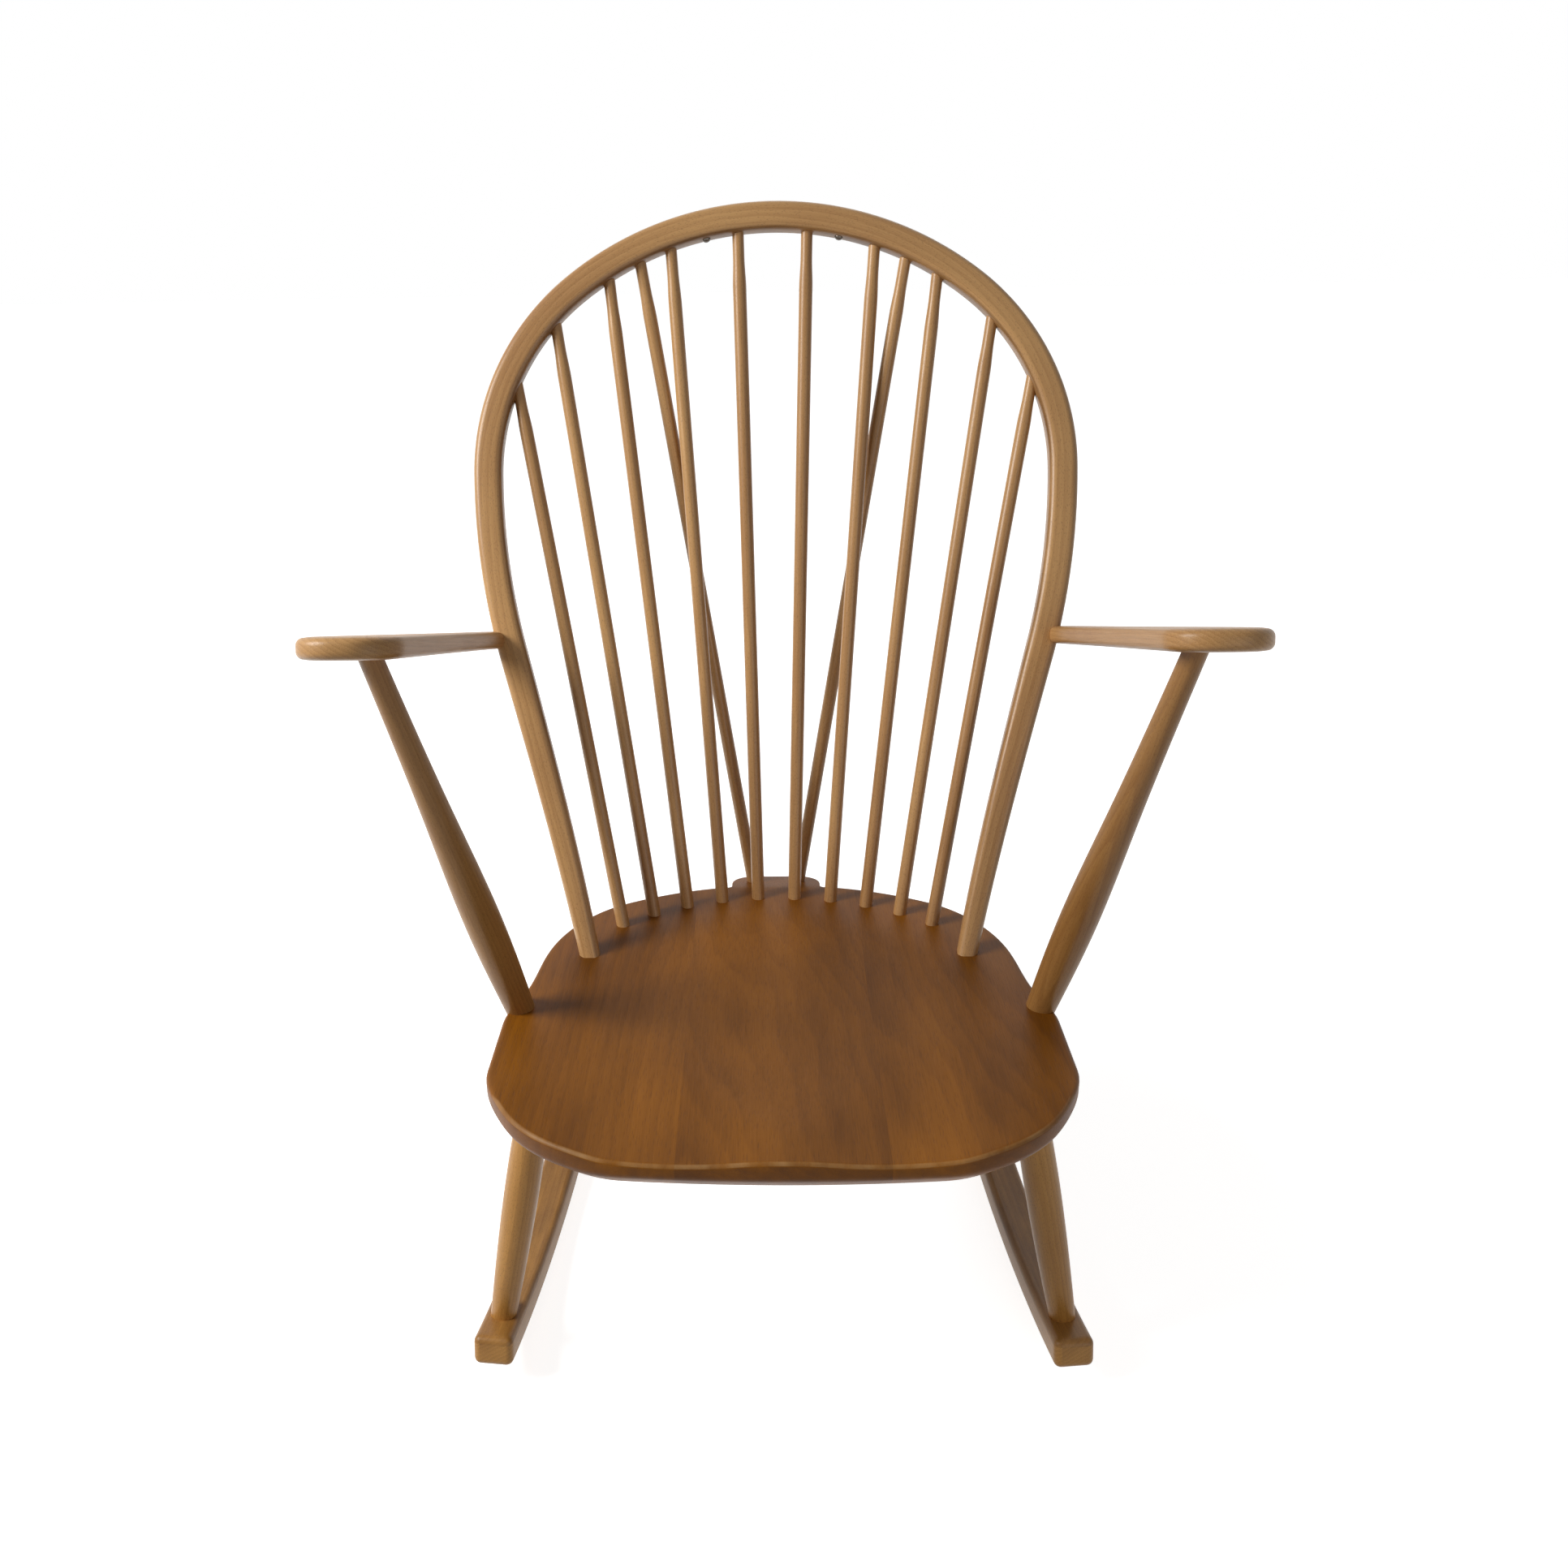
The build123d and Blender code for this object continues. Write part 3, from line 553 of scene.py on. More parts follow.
def bevel_square_edges(offset, segments, sharpness=SQUARE_EDGE_ANGLE):
    """Rounds every edge of the piece being edited that is sharper than an angle."""
    bpy.ops.mesh.select_mode(type="EDGE")
    bpy.ops.mesh.select_all(action="DESELECT")
    bpy.ops.mesh.edges_select_sharp(sharpness=sharpness)
    bpy.ops.mesh.bevel(offset=offset, segments=segments, affect="EDGES")


def lay(piece, place):
    """Moves a piece by a matrix and keeps its own origin where the chair's is."""
    if bpy.context.mode == "EDIT_MESH":
        bpy.ops.object.mode_set(mode="OBJECT")
    select_only(piece)
    piece.matrix_world = place @ piece.matrix_world
    bpy.context.view_layer.update()
    bpy.ops.object.transform_apply(location=True, rotation=True, scale=True)


def close_up(piece):
    """Merges doubled points and turns every face outwards."""
    if bpy.context.mode != "EDIT_MESH":
        select_only(piece)
        bpy.ops.object.mode_set(mode="EDIT")
    bpy.ops.mesh.select_mode(type="VERT")
    bpy.ops.mesh.select_all(action="SELECT")
    bpy.ops.mesh.remove_doubles(threshold=WELD_DISTANCE)
    face_outwards()
    bpy.ops.object.mode_set(mode="OBJECT")


def copy_of(piece, name):
    """A copy of a piece with a mesh of its own."""
    twin = piece.copy()
    twin.data = piece.data.copy()
    twin.name = twin.data.name = name
    bpy.context.collection.objects.link(twin)
    return twin


def joined(pieces, name):
    """Several shapes of one node as one piece."""
    select_only(*pieces)
    bpy.ops.object.join()
    pieces[0].name = name
    return pieces[0]


def turned_grain(point):
    """Across, through and along a turned piece, which is turned about z."""
    return point


def board_grain(point):
    """Across, through and along a flat board, whose grain runs along y."""
    return point.x, point.z, point.y


def store_grain(piece, grain_at, log, painted_light_at=None):
    """Stores how every point lies in the straight plank that the piece was made from:
    across it, through it and along it. It also stores the painted highlight and painted shade of each
    point."""
    start = Vector([stride * log for stride in LOG_STRIDE])
    grain = []
    painted_light = []
    for vertex in piece.data.vertices:
        point = piece.matrix_world @ vertex.co
        grain.extend(Vector(grain_at(point)) + start)
        painted_light.append(painted_light_at(point) if painted_light_at else 0.0)
    layer = piece.data.attributes.new("grain", "FLOAT_VECTOR", "POINT")
    layer.data.foreach_set("vector", grain)
    layer = piece.data.attributes.new("painted_light", "FLOAT", "POINT")
    layer.data.foreach_set("value", painted_light)


def finish_piece(piece, node, finish):
    """Smooths a placed piece, gives it its finish and lets it stand for its node."""
    select_only(piece)
    bpy.ops.object.shade_smooth_by_angle(angle=SMOOTH_ANGLE)
    piece.data.materials.clear()
    piece.data.materials.append(finish)
    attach(piece, BODY)
    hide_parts(node)


def place_along(start, end):
    """The matrix that lays a piece turned about z along the line from start to end."""
    way = (end - start).normalized()
    turn = Vector((0, 0, 1)).rotation_difference(way).to_matrix().to_4x4()
    return Matrix.Translation(start) @ turn


def turned(name, profile, sides=TURNED_SIDES):
    """A piece turned about z. Its profile is a list of heights and radii from its lower end."""
    height, radius = profile[0]
    piece = start_piece(
        name,
        bpy.ops.mesh.primitive_circle_add,
        vertices=sides,
        radius=radius,
        fill_type="NGON",
        location=(0, 0, height),
    )
    for next_height, next_radius in profile[1:]:
        extrude((0, 0, next_height - height))
        widen(next_radius / radius, (0, 0, next_height))
        height, radius = next_height, next_radius
    close_up(piece)
    return piece


def turned_piece(node, start, end, profile, log, finish):
    """A finished turned piece for a node, between two points of the chair."""
    piece = turned(f"{node}_turned", profile)
    store_grain(piece, turned_grain, log)
    lay(piece, place_along(start, end))
    finish_piece(piece, node, finish)


def tenoned_profile(body, lower, upper):
    """The profile of a turned piece that stands in two sockets. Its body is a smooth curve
    through heights and diameters. Each socket gives how deep the body is let in, and the
    diameter and the length of the tenon."""
    curve = smooth_curve([(height, diameter / 2) for height, diameter in body], PROFILE_STEPS)
    run, upper_radius = curve[-1]
    lower_seating, lower_diameter, lower_length = lower
    upper_seating, upper_diameter, upper_length = upper
    return [
        (-lower_length, lower_diameter / 2),
        (-lower_seating, lower_diameter / 2),
        (-lower_seating, curve[0][1]),
        *curve,
        (run + upper_seating, upper_radius),
        (run + upper_seating, upper_diameter / 2),
        (run + upper_length, upper_diameter / 2),
    ]


def section(name, width, depth, corner, place):
    """A rounded rectangle, ready to be extruded or spun in edit mode."""
    piece = start_piece(name, bpy.ops.mesh.primitive_plane_add, size=1)
    bpy.ops.transform.resize(value=(width, depth, 1))
    bpy.ops.mesh.bevel(offset=corner, segments=SECTION_CORNER_STEPS, affect="VERTICES")
    lay(piece, place)
    bpy.ops.object.mode_set(mode="EDIT")
    bpy.ops.mesh.select_mode(type="FACE")
    bpy.ops.mesh.select_all(action="SELECT")
    return piece


def spin(centre, turn, steps):
    """Spins what is selected about an upright axis, anticlockwise seen from above."""
    bpy.ops.mesh.spin(steps=steps, angle=-turn, center=(*centre, 0), axis=(0, 0, 1))


# ---------------------------------------------------------------- finishes
# How often each pattern repeats in a metre, across, through and along the grain.
WAVE_REPEATS = (9, 9, 2.6)
JITTER_REPEATS = (160, 160, 9)
FIBRE_REPEATS = (1100, 1100, 26)
CLOUD_REPEATS = (14, 14, 2.5)
PATCH_REPEATS = (6, 6, 4)
PAINTED_LIGHT_REPEATS = (60, 60, 18)
PORE_REPEATS = 950.0
SPOT_REPEATS = 900.0

# The shade of a growth ring from its inside to its outside, and how ragged the rings are.
RING_SHADES = ((0.0, 0.1), (0.1, 0.9), (0.3, 0.65), (0.7, 0.2), (1.0, 0.1))
RING_JITTER = 0.7

# The usual value of each kind of figure, from 0 to 1.
USUAL_FIGURE = {"Rings": 0.45, "Fibres": 0.5, "Clouds": 0.5, "Patches": 0.5}

# How sharply the painted highlight and shade are broken up, and how much of them is left out.
PAINTED_LIGHT_CONTRAST = 1.6
PAINTED_LIGHT_GAPS = -0.35

# What fibres, clouds, pores and spots do to the roughness and to the height.
FIBRE_ROUGHNESS = 0.14
CLOUD_ROUGHNESS = 0.1
SPOT_ROUGHNESS = 0.25
PORE_HEIGHT = -0.7
SPOT_SHADE = 0.45

ELM_FIGURE = {
    "Ring Spacing": 0.011,
    "Heart Depth": 0.045,
    "Heart Slope": 0.10,
    "Waviness": 0.075,
    "Pore Length": 0.016,
}
ELM_SHARES = {"Rings": 0.17, "Fibres": 0.4, "Clouds": 1.3, "Patches": 1.3, "Pores": 0.4}
BEECH_FIGURE = {
    "Ring Spacing": 0.0035,
    "Heart Depth": 0.12,
    "Heart Slope": 0.012,
    "Waviness": 0.012,
    "Pore Length": 0.0035,
}
BEECH_SHARES = {"Rings": 0.3, "Fibres": 0.5, "Clouds": 0.8, "Patches": 0.8, "Pores": 0.35}
LACQUER_COAT = 0.28
WAX_COAT = 0.06


def put(tree, kind, sockets=None, **settings):
    """Adds a node, sets it up, and joins or fills its sockets, by name or by number."""
    node = tree.nodes.new(kind)
    for key, value in settings.items():
        setattr(node, key, value)
    for key, value in (sockets or {}).items():
        if isinstance(value, bpy.types.NodeSocket):
            tree.links.new(value, node.inputs[key])
        else:
            node.inputs[key].default_value = value
    return node


def calc(tree, operation, *values, clamp=False):
    """The result of a Math node on sockets or numbers."""
    sockets = dict(enumerate(values))
    return put(tree, "ShaderNodeMath", sockets, operation=operation, use_clamp=clamp).outputs[0]


def blend_colours(tree, share, first, second):
    """Two colours blended by a share. Each is a socket, or its red, green and blue."""
    sockets = {"Factor": share}
    for label, tone in (("A", first), ("B", second)):
        sockets[label] = tone if isinstance(tone, bpy.types.NodeSocket) else (*tone, 1)
    return put(tree, "ShaderNodeMix", sockets, data_type="RGBA").outputs["Result"]


def stretched(tree, vector, repeats):
    """A vector multiplied by how often a pattern repeats along each axis."""
    node = put(tree, "ShaderNodeVectorMath", {0: vector, 1: repeats}, operation="MULTIPLY")
    return node.outputs[0]


def noise(tree, vector, repeats, detail):
    """A noise that is stretched along the grain."""
    sockets = {"Vector": stretched(tree, vector, repeats), "Scale": 1.0, "Detail": detail}
    return put(tree, "ShaderNodeTexNoise", sockets).outputs[0]


def new_group(name, inputs, outputs):
    """A shader node group and its two ends. An input is a number, or a vector for None."""
    group = bpy.data.node_groups.new(name, "ShaderNodeTree")
    for label, default in inputs.items():
        kind = "NodeSocketVector" if default is None else "NodeSocketFloat"
        socket = group.interface.new_socket(name=label, in_out="INPUT", socket_type=kind)
        if default is not None:
            socket.default_value = default
    for label in outputs:
        group.interface.new_socket(name=label, in_out="OUTPUT", socket_type="NodeSocketFloat")
    return group, group.nodes.new("NodeGroupInput"), group.nodes.new("NodeGroupOutput")


def wood_figure_group():
    """Rings, fibres, pores, clouds and patches of wood, as masks. The grain runs along z."""
    group, inlet, outlet = new_group(
        "Wood figure",
        {
            "Grain": None,
            "Ring Spacing": 0.006,
            "Heart Depth": 0.08,
            "Heart Slope": 0.0,
            "Waviness": 0.01,
            "Pore Length": 0.008,
        },
        ("Rings", "Fibres", "Pores", "Clouds", "Patches"),
    )
    grain = inlet.outputs["Grain"]
    parts = put(group, "ShaderNodeSeparateXYZ", {0: grain})
    drift = calc(group, "SUBTRACT", noise(group, grain, WAVE_REPEATS, detail=2.0), 0.5)
    drift = calc(group, "MULTIPLY", drift, inlet.outputs["Waviness"])
    slope = calc(group, "MULTIPLY", parts.outputs["Z"], inlet.outputs["Heart Slope"])
    depth = calc(group, "ADD", parts.outputs["Y"], inlet.outputs["Heart Depth"])
    depth = calc(group, "ADD", calc(group, "ADD", depth, slope), drift)
    across = calc(group, "MULTIPLY", parts.outputs["X"], parts.outputs["X"])
    distance = calc(group, "SQRT", calc(group, "MULTIPLY_ADD", depth, depth, across))
    count = calc(group, "DIVIDE", distance, inlet.outputs["Ring Spacing"])
    jitter = noise(group, grain, JITTER_REPEATS, detail=2.0)
    phase = calc(group, "FRACT", calc(group, "MULTIPLY_ADD", jitter, RING_JITTER, count))
    ramp = put(group, "ShaderNodeValToRGB", {0: phase})
    ramp.color_ramp.interpolation = "B_SPLINE"
    stops = ramp.color_ramp.elements
    while len(stops) < len(RING_SHADES):
        stops.new(1.0)
    for stop, (place, shade) in zip(stops, RING_SHADES):
        stop.position = place
        stop.color = (shade, shade, shade, 1)
    run = calc(group, "DIVIDE", 1.0, inlet.outputs["Pore Length"])
    pore_repeats = put(group, "ShaderNodeCombineXYZ", {0: PORE_REPEATS, 1: PORE_REPEATS, 2: run})
    pore_place = stretched(group, grain, pore_repeats.outputs[0])
    pores = put(group, "ShaderNodeTexVoronoi", {"Vector": pore_place, "Scale": 1.0})
    pore_mask = put(
        group,
        "ShaderNodeMapRange",
        {
            "Value": pores.outputs["Distance"],
            "From Min": 0.12,
            "From Max": 0.34,
            "To Min": 1.0,
            "To Max": 0.0,
        },
    )
    for label, socket in (
        ("Rings", ramp.outputs["Color"]),
        ("Fibres", noise(group, grain, FIBRE_REPEATS, detail=3.0)),
        ("Pores", pore_mask.outputs[0]),
        ("Clouds", noise(group, grain, CLOUD_REPEATS, detail=4.0)),
        ("Patches", noise(group, grain, PATCH_REPEATS, detail=2.0)),
    ):
        group.links.new(socket, outlet.inputs[label])
    return group


def painted_light_group():
    """Where painted highlight lies, above 0, and painted shade, below 0, broken up by patches."""
    group, inlet, outlet = new_group(
        "Painted light marks", {"Grain": None, "Painted Light Amount": 0.0}, ("Painted Highlight", "Painted Shade")
    )
    patches = noise(group, inlet.outputs["Grain"], PAINTED_LIGHT_REPEATS, detail=4.0)
    broken = calc(group, "MULTIPLY_ADD", patches, PAINTED_LIGHT_CONTRAST, PAINTED_LIGHT_GAPS)
    for label, sign in (("Painted Highlight", 1.0), ("Painted Shade", -1.0)):
        painted_marks = calc(group, "MULTIPLY", inlet.outputs["Painted Light Amount"], sign, clamp=True)
        mask = calc(group, "MULTIPLY", painted_marks, broken, clamp=True)
        group.links.new(mask, outlet.inputs[label])
    return group


def use_group(tree, name, make, sockets):
    """A shared node group placed in a material. It is made where it is first used."""
    group = bpy.data.node_groups.get(name) or make()
    return put(tree, "ShaderNodeGroup", sockets, node_tree=group)


def new_material(name):
    """A material, its nodes and its shader."""
    material = bpy.data.materials.new(name)
    material.use_nodes = True
    return material, material.node_tree, material.node_tree.nodes["Principled BSDF"]


def wood(name, light, dark, figure, shares, roughness, gloss, coat, stored=True):
    """A waxed or lacquered wood. Its shares say how much each kind of figure shows. The grain
    is stored on the piece, or else runs along z through the whole chair."""
    found = bpy.data.materials.get(name)
    if found:
        return found
    finishes = chair().finishes
    material, tree, shader = new_material(name)
    if stored:
        grain = put(tree, "ShaderNodeAttribute", attribute_name="grain").outputs["Vector"]
        painted_light = put(tree, "ShaderNodeAttribute", attribute_name="painted_light").outputs["Fac"]
    else:
        grain = put(tree, "ShaderNodeTexCoord").outputs["Object"]
        painted_light = 0.0
    look = use_group(tree, "Wood figure", wood_figure_group, {"Grain": grain, **figure}).outputs
    painted_marks = use_group(tree, "Painted light marks", painted_light_group, {"Grain": grain, "Painted Light Amount": painted_light}).outputs
    darkness = 0.0
    usual = 0.0
    for kind, usual_value in USUAL_FIGURE.items():
        darkness = calc(tree, "MULTIPLY_ADD", look[kind], shares[kind], darkness)
        usual += shares[kind] * usual_value
    # The usual figure comes out halfway between the light and the dark colour.
    darkness = calc(tree, "SUBTRACT", darkness, usual - 0.5, clamp=True)
    base = blend_colours(tree, darkness, light, dark)
    pore_share = calc(tree, "MULTIPLY", look["Pores"], shares["Pores"])
    base = blend_colours(tree, pore_share, base, finishes.fleck_and_shade)
    # A painted highlight on some edges, and painted shade on undersides, sides and insides.
    base = blend_colours(tree, painted_marks["Painted Highlight"], base, finishes.painted_highlight)
    base = blend_colours(tree, painted_marks["Painted Shade"], base, finishes.fleck_and_shade)
    tree.links.new(base, shader.inputs["Base Color"])
    lowest = roughness - (FIBRE_ROUGHNESS + CLOUD_ROUGHNESS) / 2
    rough = calc(tree, "MULTIPLY_ADD", look["Fibres"], FIBRE_ROUGHNESS, lowest)
    rough = calc(tree, "MULTIPLY_ADD", look["Clouds"], CLOUD_ROUGHNESS, rough)
    tree.links.new(rough, shader.inputs["Roughness"])
    height = calc(tree, "MULTIPLY_ADD", look["Pores"], PORE_HEIGHT, look["Fibres"])
    bump = put(tree, "ShaderNodeBump", {"Height": height, "Strength": 0.35, "Distance": 0.00025})
    tree.links.new(bump.outputs[0], shader.inputs["Normal"])
    shader.inputs["Specular IOR Level"].default_value = gloss
    shader.inputs["Coat Weight"].default_value = coat
    shader.inputs["Coat Roughness"].default_value = 0.28
    return material


def elm_seat():
    """The finish of the seat's boards."""
    return wood(
        "Seat elm",
        chair().finishes.seat_light,
        chair().finishes.seat_dark,
        ELM_FIGURE,
        ELM_SHARES,
        roughness=0.44,
        gloss=0.15,
        coat=0.02,
    )


def beech(name, tone="beech", coat=WAX_COAT, stored=True):
    """A finish of the beech pieces. Its tone says which two colours of the finishes it has."""
    return wood(
        name,
        getattr(chair().finishes, f"{tone}_light"),
        getattr(chair().finishes, f"{tone}_dark"),
        BEECH_FIGURE,
        BEECH_SHARES,
        roughness=0.38,
        gloss=0.3,
        coat=coat,
        stored=stored,
    )


def metal(name, base, roughness):
    """A dull metal with fine wear."""
    material, tree, shader = new_material(name)
    place = put(tree, "ShaderNodeTexCoord").outputs["Object"]
    texture = {"Vector": place, "Scale": SPOT_REPEATS, "Detail": 4.0}
    spots = put(tree, "ShaderNodeTexNoise", texture).outputs[0]
    darker = tuple(value * SPOT_SHADE for value in base)
    tree.links.new(blend_colours(tree, spots, darker, base), shader.inputs["Base Color"])
    rough = calc(tree, "MULTIPLY_ADD", spots, SPOT_ROUGHNESS, roughness)
    tree.links.new(rough, shader.inputs["Roughness"])
    bump = put(tree, "ShaderNodeBump", {"Height": spots, "Strength": 0.2, "Distance": 0.0001})
    tree.links.new(bump.outputs[0], shader.inputs["Normal"])
    shader.inputs["Metallic"].default_value = 1.0
    return material


def give_finish(node, finish):
    """Gives a node of the frame a better finish in place of its own."""
    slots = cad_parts[node].material_slots
    if not slots:
        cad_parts[node].data.materials.append(finish)
    for slot in slots:
        slot.material = finish


# ---------------------------------------------------------------- seat
SIDE_STEPS = 8
SADDLE_RINGS = 46

# Where the thigh hollows start to rise to the back, as a share of the bowl's setback, and
# how much flatter they rise than across.
HOLLOW_END = 0.6
HOLLOW_FLATNESS = 3

# How far below the top the painted highlight on the edge's rounding starts.
EDGE_START = 0.0002


def seat_outline():
    """The seat from above, with x across and y back."""
    seat = chair().seat
    front_radius = (seat.front_half_straight**2 + seat.front_bow**2) / (2 * seat.front_bow)
    front_turn = asin(seat.front_half_straight / front_radius)
    half = arc((0, front_radius), front_radius, -90, degrees(front_turn), steps=20)
    corner_points = (
        half[-1],
        (seat.corner_start, seat.corner_start_setback),
        (seat.corner, seat.corner_setback),
        (seat.corner_end, seat.corner_end_setback),
        (seat.half_width, seat.widest_front),
    )
    front_way = (cos(front_turn), sin(front_turn))
    half += smooth_curve(corner_points, steps=26, start_way=front_way, end_way=(0, 1))[1:]
    straight = np.linspace(seat.widest_front, seat.widest_back, SIDE_STEPS + 1)[1:-1]
    half += [(seat.half_width, back) for back in straight]
    rear_radius = (seat.rear_corner**2 + seat.rear_bow**2) / (2 * seat.rear_bow)
    rear_centre = seat.depth - rear_radius
    corner_turn = asin(seat.rear_corner / rear_radius)
    root = seat.tail_root
    tail_turn = asin((seat.tail_half_width + root) / (rear_radius + root))
    waist_points = (
        (seat.half_width, seat.widest_back),
        (seat.waist, seat.waist_setback),
        (seat.rear_side, seat.depth - seat.rear_side_inset),
        (seat.rear_corner, seat.depth - seat.rear_bow),
    )
    rear_way = (-cos(corner_turn), sin(corner_turn))
    half += smooth_curve(waist_points, steps=30, start_way=(0, 1), end_way=rear_way)
    start, end = 90 - degrees(corner_turn), 90 - degrees(tail_turn)
    half += arc((0, rear_centre), rear_radius, start, end - start, steps=14)[1:]
    root_centre = (
        seat.tail_half_width + root,
        rear_centre + (rear_radius + root) * cos(tail_turn),
    )
    start = 270 - degrees(tail_turn)
    half += arc(root_centre, root, start, 180 - start, steps=6)[1:]
    tail_end = seat.depth + seat.tail_length
    corner = seat.tail_corner
    corner_centre = (seat.tail_half_width - corner, tail_end - corner)
    half += arc(corner_centre, corner, 0, 90, steps=8)
    half.append((0, tail_end))
    return mirrored_outline(half)


def softer_of(first, second, softness=0.0016):
    """The lower of two heights, with the crease between them eased over a short height."""
    near = max(softness - abs(first - second), 0) / softness
    return min(first, second) - near * near * softness / 4


def carved_height(across, back):
    """How far the seat's top is carved down at a point."""
    seat = chair().seat
    bowl = (seat.saddle_radius**2 + seat.saddle_depth**2) / (2 * seat.saddle_depth)
    reach = (across**2 + (back - seat.saddle_setback) ** 2) / (2 * bowl)
    height = softer_of(0.0, reach - seat.saddle_depth)
    from_hollow = abs(abs(across) - seat.hollow_spacing / 2)
    past_end = max(back - HOLLOW_END * seat.saddle_setback, 0)
    rise = (from_hollow**2 + past_end**2 / HOLLOW_FLATNESS) / (2 * seat.hollow_radius)
    hollow = rise - seat.hollow_depth
    height = softer_of(height, hollow)
    fall_start = seat.depth + seat.tail_length - seat.tail_fall_run
    if back > fall_start:
        height -= (back - fall_start) / seat.tail_fall_run * seat.tail_fall
    return height


def carved(point, lowest):
    """A point of the seat's top is carved down, and one below a height stays as it is."""
    if point.z > lowest:
        return point.x, point.y, carved_height(point.x, point.y)
    return point


def carve_seat(name):
    """The whole seat in its own plane, before it is parted into boards."""
    seat = chair().seat
    piece = start_outline(name, seat_outline(), 0)
    side = seat.thickness - seat.undercut_height
    extrude((0, 0, -side))
    bpy.ops.mesh.inset(thickness=seat.undercut_width, depth=0)
    bpy.ops.transform.translate(value=(0, 0, -seat.undercut_height))
    pick_faces(lambda middle: middle.z > -side / 4)
    for ring in reversed(range(1, SADDLE_RINGS)):
        extrude((0, 0, 0))
        widen(ring / (ring + 1), (0, seat.saddle_setback, 0))
    bpy.ops.mesh.merge(type="CENTER")
    bpy.ops.mesh.select_all(action="SELECT")
    shape_selected(carved, -side / 2)
    face_outwards()
    bevel_square_edges(seat.edge_rounding, segments=4)
    bevel_square_edges(seat.edge_rounding, segments=3, sharpness=SOFT_EDGE_ANGLE)
    close_up(piece)
    return piece


def seat_painted_light(point):
    """A painted highlight along the seat's front edge, and painted shade on its sides and below."""
    seat = chair().seat
    drop = carved_height(point.x, point.y) - point.z
    if drop > seat.edge_rounding:
        return SEAT_SIDE_SHADE
    on_edge = drop > EDGE_START and point.y < seat.corner_end_setback
    return SEAT_FRONT_HIGHLIGHT if on_edge else 0.0


class CHAIR_OT_seat(bpy.types.Operator):
    """Carve the seat and part it into its three boards"""

    bl_idname = "chair.seat"
    bl_label = "Seat"

    def execute(self, context):
        whole = carve_seat("seat_blank")
        joint = chair().seat.board_half_width
        # Where each board is sawn, and to which side of the cut its waste lies.
        waste = {
            "seat_board_left": ((-joint, 1),),
            "seat_board_middle": ((-joint, -1), (joint, 1)),
            "seat_board_right": ((joint, -1),),
        }
        for number, (node, cuts) in enumerate(waste.items()):
            board = copy_of(whole, f"{node}_carved")
            select_only(board)
            bpy.ops.object.mode_set(mode="EDIT")
            for across, way in cuts:
                bpy.ops.mesh.select_all(action="SELECT")
                bpy.ops.mesh.bisect(
                    plane_co=(across, 0, 0), plane_no=(way, 0, 0), use_fill=True, clear_outer=True
                )
            close_up(board)
            store_grain(board, board_grain, SEAT_LOG + number, seat_painted_light)
            lay(board, seat_plane())
            finish_piece(board, node, elm_seat())
        bpy.data.objects.remove(whole)
        return {"FINISHED"}


# ---------------------------------------------------------------- back
LEG_STEPS = 12
FOOT_ROUNDNESS = 0.85

# How deep the hoop's feet are let into the seat, and how far their tenons run through it, as
# shares of its thickness.
FOOT_SEATING = 0.3
TENON_REACH = 1.01


def hoop_grain(point):
    """Across, through and along the straight blank that the hoop was bent from."""
    back, line = chair().back, hoop_line()
    x, y = abs(point.x), point.y
    crown_turn = atan2(x, y - line.crown_y)
    if 0 <= crown_turn <= back.crown_half_angle:
        offset = hypot(x, y - line.crown_y) - back.crown_radius
        distance = back.crown_radius * crown_turn
    elif y >= line.shoulder_y:
        turn = atan2(x - line.shoulder_x, y - line.shoulder_y)
        offset = hypot(x - line.shoulder_x, y - line.shoulder_y) - line.shoulder_radius
        distance = line.crown_length + line.shoulder_radius * (turn - back.crown_half_angle)
    else:
        turn = min(atan2(line.shoulder_y - y, x - line.flank_x), back.flank_angle)
        way = Vector((cos(turn), -sin(turn)))
        end = Vector((line.flank_x, line.shoulder_y)) + way * back.flank_radius
        rest = Vector((x, y)) - end
        offset = rest.dot(way)
        down = rest.dot(Vector((way.y, -way.x)))
        distance = line.crown_length + line.shoulder_length + back.flank_radius * turn + down
    return offset, point.z, distance if point.x >= 0 else -distance


def hoop_painted_light(point):
    """A painted highlight along the hoop's outside, and painted shade along its inside."""
    back = chair().back
    edge = back.hoop_width / 2 - back.hoop_edge / 3
    offset = hoop_grain(point)[0]
    if offset < -edge:
        return HOOP_INSIDE_SHADE
    return HOOP_OUTSIDE_HIGHLIGHT if offset > edge else 0.0


def leg_form(share):
    """The width, depth and roundness of the bow, at a share of the way down a leg."""
    back = chair().back
    width = back.hoop_width + (back.foot_width - back.hoop_width) * share
    depth = back.hoop_depth + (back.foot_depth - back.hoop_depth) * share
    return width, depth, FOOT_ROUNDNESS * share**3


def reformed(point, centre, across, form, next_form):
    """Where a point of the bow's section goes as its width, depth and roundness change."""
    width, depth, roundness = form
    next_width, next_depth, next_roundness = next_form
    offset = point - centre
    flat = Vector((offset.dot(across) / width, offset.z / depth))
    grown = Vector((flat.x * next_width, flat.y * next_depth))
    if roundness < 1:
        # The ring is the ellipse of that width and depth, which a round section follows.
        turn = atan2(flat.y, flat.x)
        ring = Vector((cos(turn) * next_width / 2, sin(turn) * next_depth / 2))
        grown = grown.lerp(ring, (next_roundness - roundness) / (1 - roundness))
    return centre + across * grown.x + Vector((0, 0, grown.y))


